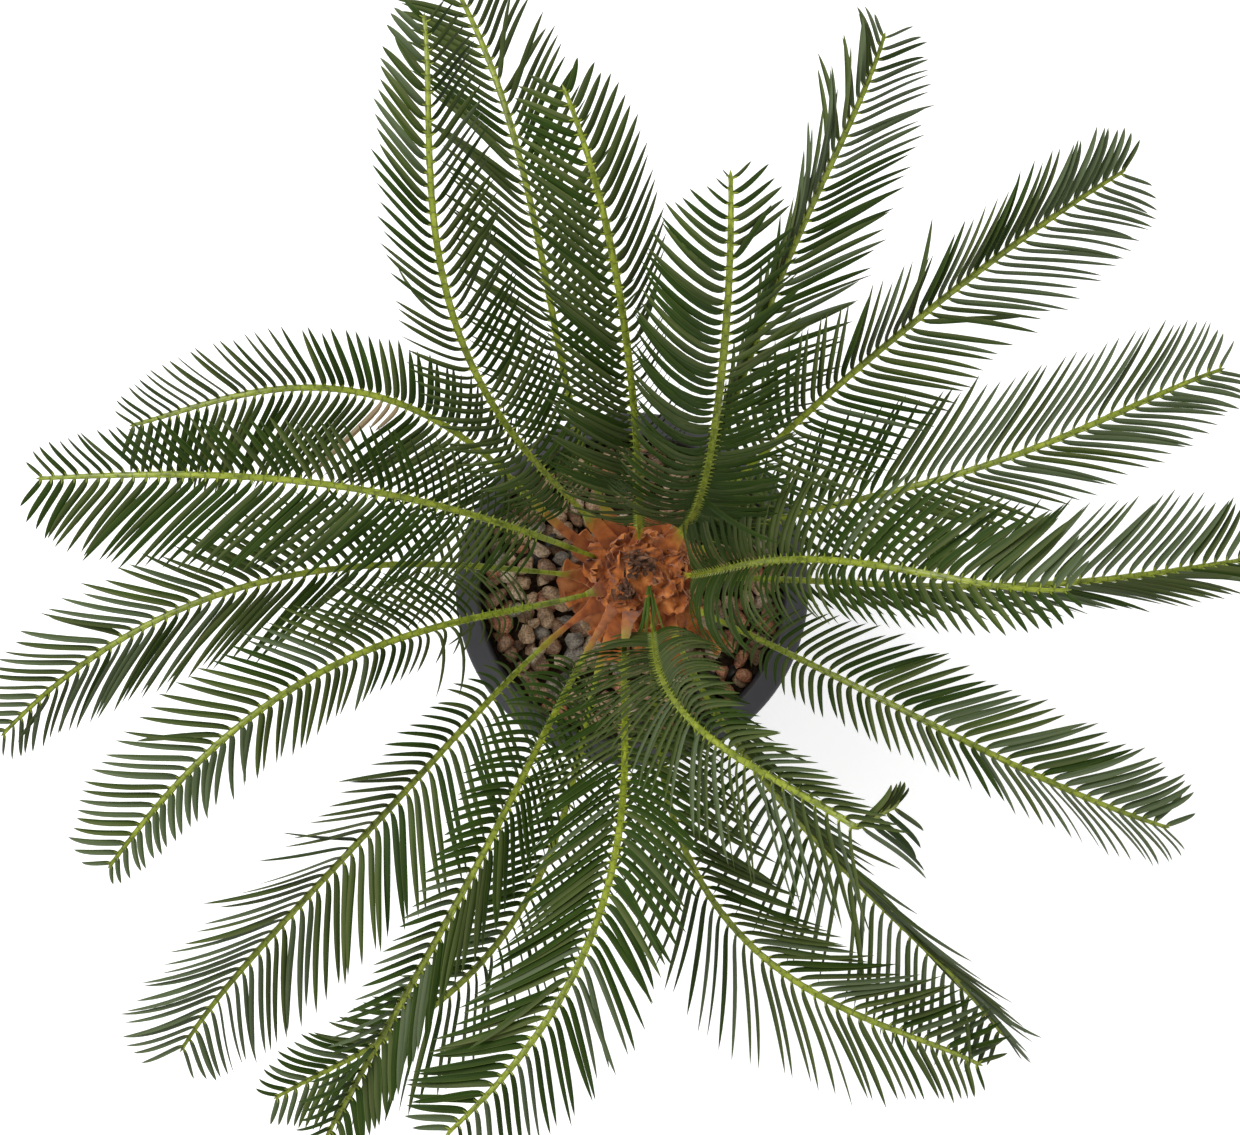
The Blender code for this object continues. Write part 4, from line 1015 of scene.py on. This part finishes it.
def pot(heap):
    """The planter, turned: rounded rim band with a fine step under it, tapering wall, foot and inside."""
    inner = RIM_RADIUS - RIM_WIDTH
    band = POT_HEIGHT - RIM_DEPTH
    floor = FLOOR_THICKNESS - 0.0005
    profile = corner((inner + LIP_ROUND, POT_HEIGHT - LIP_ROUND), LIP_ROUND, 180, 90, 6)
    profile += corner((RIM_RADIUS - RIM_ROUND, POT_HEIGHT - RIM_ROUND), RIM_ROUND, 90, 0, 8)
    profile += [(RIM_RADIUS - 0.6 * RIM_DRAFT, POT_HEIGHT - 0.6 * RIM_DEPTH)]
    profile += corner((RIM_RADIUS - RIM_DRAFT - BAND_ROUND, band + BAND_ROUND), BAND_ROUND, 0, -90, 5)
    profile += corner((WALL_TOP_RADIUS + NECK_ROUND, band - NECK_ROUND), NECK_ROUND, 90, 180, 4)
    top = profile[-1]
    for share in np.arange(1, 24) / 24:
        radius = top[0] + (FOOT_RADIUS - top[0]) * share + WALL_BULGE * math.sin(math.pi * share)
        profile.append((radius, top[1] + (0.006 - top[1]) * share))
    profile += corner((FOOT_RADIUS - FOOT_ROUND, FOOT_ROUND), FOOT_ROUND, 0, -90, 6)
    profile += [(FOOT_RADIUS - FOOT_WIDTH, 0.0), (FOOT_RADIUS - FOOT_WIDTH - FOOT_HOLLOW, FOOT_HOLLOW)]
    profile += [(0.0005, FOOT_HOLLOW), (0.0005, floor), (inner_radius(FLOOR_THICKNESS), floor)]
    profile += [(inner_radius(h), h) for h in np.linspace(0.02, band - LEDGE_DROP, 10)]
    profile += [(inner, h) for h in np.linspace(0.235, POT_HEIGHT - RIM_ROUND, 6)]
    turns = np.arange(POT_SEGMENTS) / POT_SEGMENTS * math.tau
    radius, height = np.array(profile).T[..., None]
    points = np.stack(np.broadcast_arrays(radius * np.cos(turns), radius * np.sin(turns), height), axis=-1)
    faces = []
    for i in range(len(profile)):
        a, b = i * POT_SEGMENTS, (i + 1) % len(profile) * POT_SEGMENTS
        faces += [(a + j, b + j, b + (j + 1) % POT_SEGMENTS, a + (j + 1) % POT_SEGMENTS)
                  for j in range(POT_SEGMENTS)]
    heap.add(points, faces)


# Materials

class Finish:
    """A material with a Principled shader, and the patterns that feed it."""

    def __init__(self, name, roughness, specular, sheen=0.0):
        self.mat = bpy.data.materials.new(name)
        self.mat.use_nodes = True
        self.nodes = self.mat.node_tree.nodes
        self.links = self.mat.node_tree.links
        self.shader = self.nodes["Principled BSDF"]
        for socket, value in (("Roughness", roughness), ("Specular IOR Level", specular),
                              ("Sheen Weight", sheen), ("Sheen Roughness", 0.5)):
            self.shader.inputs[socket].default_value = value

    def node(self, kind, inputs, **settings):
        """A node. Its inputs, by name or number, are values or other nodes' outputs."""
        node = self.nodes.new("ShaderNode" + kind)
        for key, value in settings.items():
            setattr(node, key, value)
        for key, value in inputs.items():
            if isinstance(value, bpy.types.NodeSocket):
                self.links.new(value, node.inputs[key])
            else:
                node.inputs[key].default_value = value
        return node

    def place(self, kind="Object", stretch=(1.0, 1.0, 1.0)):
        """UV or object coordinates, stretched."""
        source = self.node("TexCoord", {}).outputs[kind]
        return self.node("Mapping", {"Vector": source, "Scale": stretch}).outputs["Vector"]

    def along(self):
        """The two UV coordinates apart."""
        split = self.node("SeparateXYZ", {"Vector": self.place("UV")})
        return split.outputs["X"], split.outputs["Y"]

    def mottle(self, vector, size, detail=3.0, distortion=0.0):
        """A noise pattern."""
        return self.node("TexNoise", {"Vector": vector, "Scale": size, "Detail": detail,
                                      "Distortion": distortion}).outputs["Fac"]

    def ramp(self, factor, *stops):
        """Screen colours, or greys given as one number, along a factor."""
        node = self.node("ValToRGB", {"Fac": factor})
        elements = node.color_ramp.elements
        while len(elements) < len(stops):
            elements.new(0.5)
        for element, (place, colour) in zip(elements, stops):
            element.position = place
            element.color = linear(*colour) if isinstance(colour, tuple) else (colour, colour, colour, 1.0)
        return node.outputs["Color"]

    def mix(self, factor, first, second, mode="MIX"):
        """Two colours mixed by a factor. The second may be a screen colour."""
        second = linear(*second) if isinstance(second, tuple) else second
        return self.node("Mix", {0: factor, 6: first, 7: second}, data_type="RGBA",
                         blend_type=mode).outputs[2]

    def calculate(self, operation, *values):
        """A sum worked out from numbers or outputs."""
        return self.node("Math", dict(enumerate(values)), operation=operation).outputs["Value"]

    def done(self, colour, pattern, strength, depth):
        """Paint the shader, give it relief from a pattern, and hand over the material."""
        relief = self.node("Bump", {"Height": pattern, "Strength": strength, "Distance": depth})
        self.links.new(relief.outputs["Normal"], self.shader.inputs["Normal"])
        self.links.new(colour, self.shader.inputs["Base Color"])
        return self.mat


def leaf_material(name, dark, middle, light, lit_grey):
    """Satin leaflet with streaks along it: one half greener, the other painted greyer as the lit side of its
    fold, and thin edges painted pale as a highlight.
    """
    finish = Finish(name, 0.55, 0.12)
    across = finish.calculate("FRACT", finish.along()[0])
    streak = finish.mottle(finish.place("UV", (4.5, 22.0, 1.0)), 1.0, 3.0, 0.2)
    green = finish.ramp(streak, (0.30, dark), (0.52, middle), (0.72, light))
    # Painted light: one half of each leaflet is mixed towards the greyer colour, as the lit side of its fold
    colour = finish.mix(finish.ramp(across, (0.30, 0.0), (0.70, 0.60)), green, lit_grey)
    # Painted highlight: both thin edges of each leaflet are mixed towards a pale yellow-green
    rim = finish.ramp(across, (0.02, 0.55), (0.10, 0.0), (0.90, 0.0), (0.98, 0.55))
    grain = finish.mottle(finish.place("UV", (16.0, 10.0, 1.0)), 1.0, 2.0)
    return finish.done(finish.mix(rim, colour, (98, 112, 48)), grain, 0.35, 0.0004)


def rachis_material():
    """Yellow-green plastic, streaked and blotched, with painted shade underneath, and darker at its joints.
    """
    finish = Finish("rachis_green", 0.42, 0.45)
    streak = finish.mottle(finish.place("UV", (3.0, 60.0, 1.0)), 1.0)
    colour = finish.ramp(streak, (0.32, (88, 100, 15)), (0.50, (124, 137, 27)), (0.70, (154, 164, 50)))
    turn, metres = finish.along()
    # Painted shade: the lower side of the rachis is mixed towards a darker green
    below = finish.ramp(finish.calculate("FRACT", turn), (0.40, 0.75), (0.72, 0.0))
    piece = finish.calculate("FRACT", finish.calculate("DIVIDE", metres, JOINT_EVERY))
    joint = finish.ramp(finish.calculate("PINGPONG", piece, 0.5), (0.03, 0.55), (0.09, 0.0))
    colour = finish.mix(joint, finish.mix(below, colour, (66, 80, 14)), (58, 66, 14))
    return finish.done(colour, streak, 0.3, 0.0004)


def felt_material(name, dark, middle, light, sheen=0.25, green=False):
    """Suede-like felt, mottled. The petioles' turns olive and then green towards its upper end."""
    finish = Finish(name, 0.92, 0.20, sheen)
    blotch = finish.mottle(finish.place(), 95.0, 5.0, 0.3)
    colour = finish.ramp(blotch, (0.30, dark), (0.50, middle), (0.72, light))
    if green:
        ragged = finish.calculate("MULTIPLY_ADD", blotch, 0.5, finish.along()[1])
        fade = finish.node("MapRange", {"Value": ragged, "From Min": 0.78, "From Max": 1.22})
        fade = fade.outputs["Result"]
        tint = finish.ramp(fade, (0.0, (150, 104, 34)), (0.6, (138, 132, 34)), (1.0, (142, 156, 40)))
        colour = finish.mix(fade, colour, tint)
    return finish.done(colour, finish.mottle(finish.place(), 900.0), 0.6, 0.0006)


def stone_material(name, dark, middle, light, roughness):
    """Mottled, speckled stone."""
    finish = Finish(name, roughness, 0.4)
    cloud = finish.mottle(finish.place(), 90.0, 5.0, 0.4)
    colour = finish.ramp(cloud, (0.32, dark), (0.50, middle), (0.70, light))
    speck = finish.mottle(finish.place(), 620.0, 2.0)
    grain = finish.ramp(speck, (0.36, (120, 120, 120)), (0.62, 1.0))
    return finish.done(finish.mix(0.75, colour, grain, "MULTIPLY"), speck, 0.25, 0.0008)


def pot_material():
    """Matte dark plastic with a fine moulded grain."""
    finish = Finish("pot_plastic", 0.58, 0.4)
    cloud = finish.mottle(finish.place(), 14.0, 4.0)
    colour = finish.ramp(cloud, (0.35, (54, 54, 58)), (0.65, (66, 66, 71)))
    return finish.done(colour, finish.mottle(finish.place(), 1400.0, 2.0), 0.25, 0.0003)


def soil_material():
    """Dark brown filling, coarse and dry."""
    finish = Finish("filling", 0.95, 0.2)
    clod = finish.mottle(finish.place(), 260.0, 6.0)
    colour = finish.ramp(clod, (0.3, (30, 22, 16)), (0.7, (72, 54, 38)))
    return finish.done(colour, clod, 0.9, 0.003)


# Stones: name, how common, then dark, middle and light, and the roughness
STONES = (
    ("stone_tan", 0.36, (134, 104, 76), (180, 148, 114), (208, 180, 148), 0.50),
    ("stone_brown", 0.24, (98, 70, 50), (142, 108, 80), (172, 138, 108), 0.50),
    ("stone_grey", 0.09, (98, 92, 82), (140, 130, 116), (170, 160, 144), 0.60),
    ("stone_dark", 0.05, (40, 38, 36), (62, 58, 54), (92, 86, 78), 0.70),
    ("stone_rust", 0.14, (142, 88, 62), (184, 124, 90), (210, 156, 120), 0.60),
    ("stone_pale", 0.12, (164, 138, 110), (200, 176, 146), (222, 204, 178), 0.55),
)
# Leaflets: name, how common near the crown and far out, then dark, middle, light and the greyer half, which
# is painted light on the lit side of the fold
LEAVES = (
    ("pale", 0, 0, (50, 63, 34), (68, 82, 48), (88, 101, 66), (94, 104, 78)),
    ("worn", 0, 0, (120, 96, 60), (168, 142, 104), (206, 186, 154), (196, 176, 146)),
    # The darkest green is more common near the crown than far out: painted shade near the crown, over the
    # leaflets' own mixed tones
    ("deep", 0.46, 0.20, (24, 41, 6), (38, 61, 11), (54, 79, 20), (52, 65, 24)),
    ("cool", 0.17, 0.36, (31, 46, 14), (49, 67, 24), (67, 87, 36), (82, 88, 52)),
    ("olive", 0.13, 0.22, (35, 47, 13), (51, 67, 22), (71, 88, 36), (82, 91, 51)),
    ("mid", 0.24, 0.22, (36, 51, 12), (54, 72, 20), (74, 94, 34), (94, 100, 60)),
)
PALE, WORN_OUT, DEEP = 0, 1, 2


def fronds(rng):
    """Leaflets dealt out to their colours by spray, and the rachises and petioles' feet."""
    near, far = (np.array([leaf[k] for leaf in LEAVES]) for k in (1, 2))
    blades = [Heap() for _ in LEAVES]
    ribs_heap, felt_heap = Heap(), Heap()
    base = loft_faces(len(STATIONS), 4)
    for order, number in enumerate(FRONDS):
        rib = Rib(number)
        rachis(rib, ribs_heap, rng)
        petiole_felt(rib, felt_heap, 300 + order * 2.9)
        for side in (1, -1):
            points, uvs, root, tangent, place = leaflets(rib, side, rng)
            sockets(rib, place, root, tangent, ribs_heap)
            faces = base if side == 1 else [tuple(reversed(f)) for f in base]
            first, last = WORN.get((number, side), (1.0, 1.0))
            kind = DEEP
            for k in range(len(points)):
                share = k / len(points)
                if k % 3 == 0 or rng.random() < 0.4:
                    # Near the crown the mix leans to the darkest green, as painted shade there
                    out = min(1.0, share / 0.6)
                    kind = int(rng.choice(len(LEAVES), p=near * (1.0 - out) + far * out))
                    draw = rng.random()
                    if draw < np.interp(share, PALE_FROM, (0.0, SIDES[number, side][4])):
                        kind = PALE
                    elif draw > 1.0 - DEEP_SHARES.get(number, 0.0):
                        kind = DEEP
                blades[WORN_OUT if first < share < last else kind].add(points[k], faces, uvs[k])
    names = [f"frond_{number:02d}" for number in FRONDS]
    for heap, (name, _, _, *colours) in zip(blades, LEAVES):
        heap.piece("leaflets_" + name, [leaf_material("leaf_" + name, *colours)], names, "leaf", 55)
    ribs_heap.piece("rachises", [rachis_material()], names, "leaf", 50)
    petioles = felt_material("felt_petiole", (130, 66, 26), (168, 94, 40), (190, 114, 56), green=True)
    felt_heap.piece("petiole_feet", [petioles], names, "felt", 70)


def build():
    """Make every piece."""
    rng = np.random.default_rng(SEED)
    fronds(rng)
    felt = felt_material("felt", (112, 56, 21), (170, 98, 44), (206, 135, 76))
    dark_felt = felt_material("dark_felt", (38, 25, 17), (86, 58, 42), (146, 106, 80), 0.05)
    fibre = felt_material("fibre", (150, 100, 66), (196, 146, 104), (226, 186, 148))
    # The webs' felt is browner and darker than the crown's: partly its own tone, partly painted shade under
    # the petioles
    web_felt_and_shade = felt_material("felt_web", (104, 54, 24), (146, 82, 40), (176, 110, 62))
    young = leaf_material("leaf_young", (42, 62, 12), (66, 92, 22), (96, 122, 42), (82, 100, 44))
    straps = [f"leaf_base_{i + 1:02d}" for i in range(len(LEAF_BASES))]
    for name, shape, draws, mat, nodes, slot, crease in (
            ("trunk_skin", trunk_relief, (), felt, ["trunk"], "felt", 80),
            ("crown_scales", crown_scales, (rng,), felt, ["trunk"], "felt", 70),
            ("crown_buds", curled_buds, (rng,), dark_felt, ["trunk"], "felt", 70),
            ("young_leaflets", sprout, (rng,), young, ["frond_11"], "leaf", 55),
            ("crown_fibres", fibres, (rng,), fibre, ["trunk"], "felt", 80),
            ("cut_leaf_bases", leaf_bases, (), felt, straps, "felt", 70),
            ("felt_webs", webs, (), web_felt_and_shade, ["trunk"], "felt", 70)):
        heap = Heap()
        shape(heap, *draws)
        heap.piece(name, [mat], nodes, slot, crease)
    rounded, broken, planter = Heap(), Heap(), Heap()
    pebbles(rounded, broken, rng)
    stones = [stone_material(name, *look) for name, _, *look in STONES]
    rounded.piece("gravel", stones, ["pebbles"], "pebbles", 50)
    broken.piece("gravel_broken", stones, ["pebbles"], "pebbles", 32)
    pot(planter)
    planter.piece("planter", [pot_material()], ["pot"], "pot", 35)
    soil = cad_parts["soil"]
    soil.data.materials.clear()
    soil.data.materials.append(soil_material())


def studio():
    """Camera straight above, pale floor, soft light."""
    camera = bpy.data.objects.new("camera", bpy.data.cameras.new("camera"))
    bpy.context.scene.collection.objects.link(camera)
    camera.location = CAMERA
    camera.data.sensor_width = SENSOR_WIDTH
    camera.data.lens = SENSOR_WIDTH * FOCAL_PIXELS / IMAGE_WIDTH
    bpy.context.scene.camera = camera

    mesh = bpy.data.meshes.new("floor")
    corners = [(x * FLOOR_REACH, y * FLOOR_REACH, 0) for x, y in ((-1, -1), (1, -1), (1, 1), (-1, 1))]
    mesh.from_pydata(corners, [], [(0, 1, 2, 3)])
    floor = bpy.data.objects.new("floor", mesh)
    bpy.context.scene.collection.objects.link(floor)
    finish = Finish("floor_white", 0.9, 0.1)
    finish.shader.inputs["Base Color"].default_value = FLOOR_WHITE
    finish.shader.inputs["Emission Color"].default_value = WHITE
    finish.shader.inputs["Emission Strength"].default_value = FLOOR_GLOW
    mesh.materials.append(finish.mat)

    world = bpy.data.worlds.new("studio")
    bpy.context.scene.world = world
    world.use_nodes = True
    background = world.node_tree.nodes["Background"]
    background.inputs["Color"].default_value = WHITE
    background.inputs["Strength"].default_value = WORLD_LIGHT
    for name, place, size, power in LAMPS:
        data = bpy.data.lights.new(name, "AREA")
        data.size = size
        data.energy = power
        lamp = bpy.data.objects.new(name, data)
        bpy.context.scene.collection.objects.link(lamp)
        lamp.location = place
        lamp.rotation_euler = (Vector(LAMPS_AIM) - Vector(place)).to_track_quat("-Z", "Y").to_euler()
    bpy.context.scene.view_settings.view_transform = "Standard"


build()
studio()
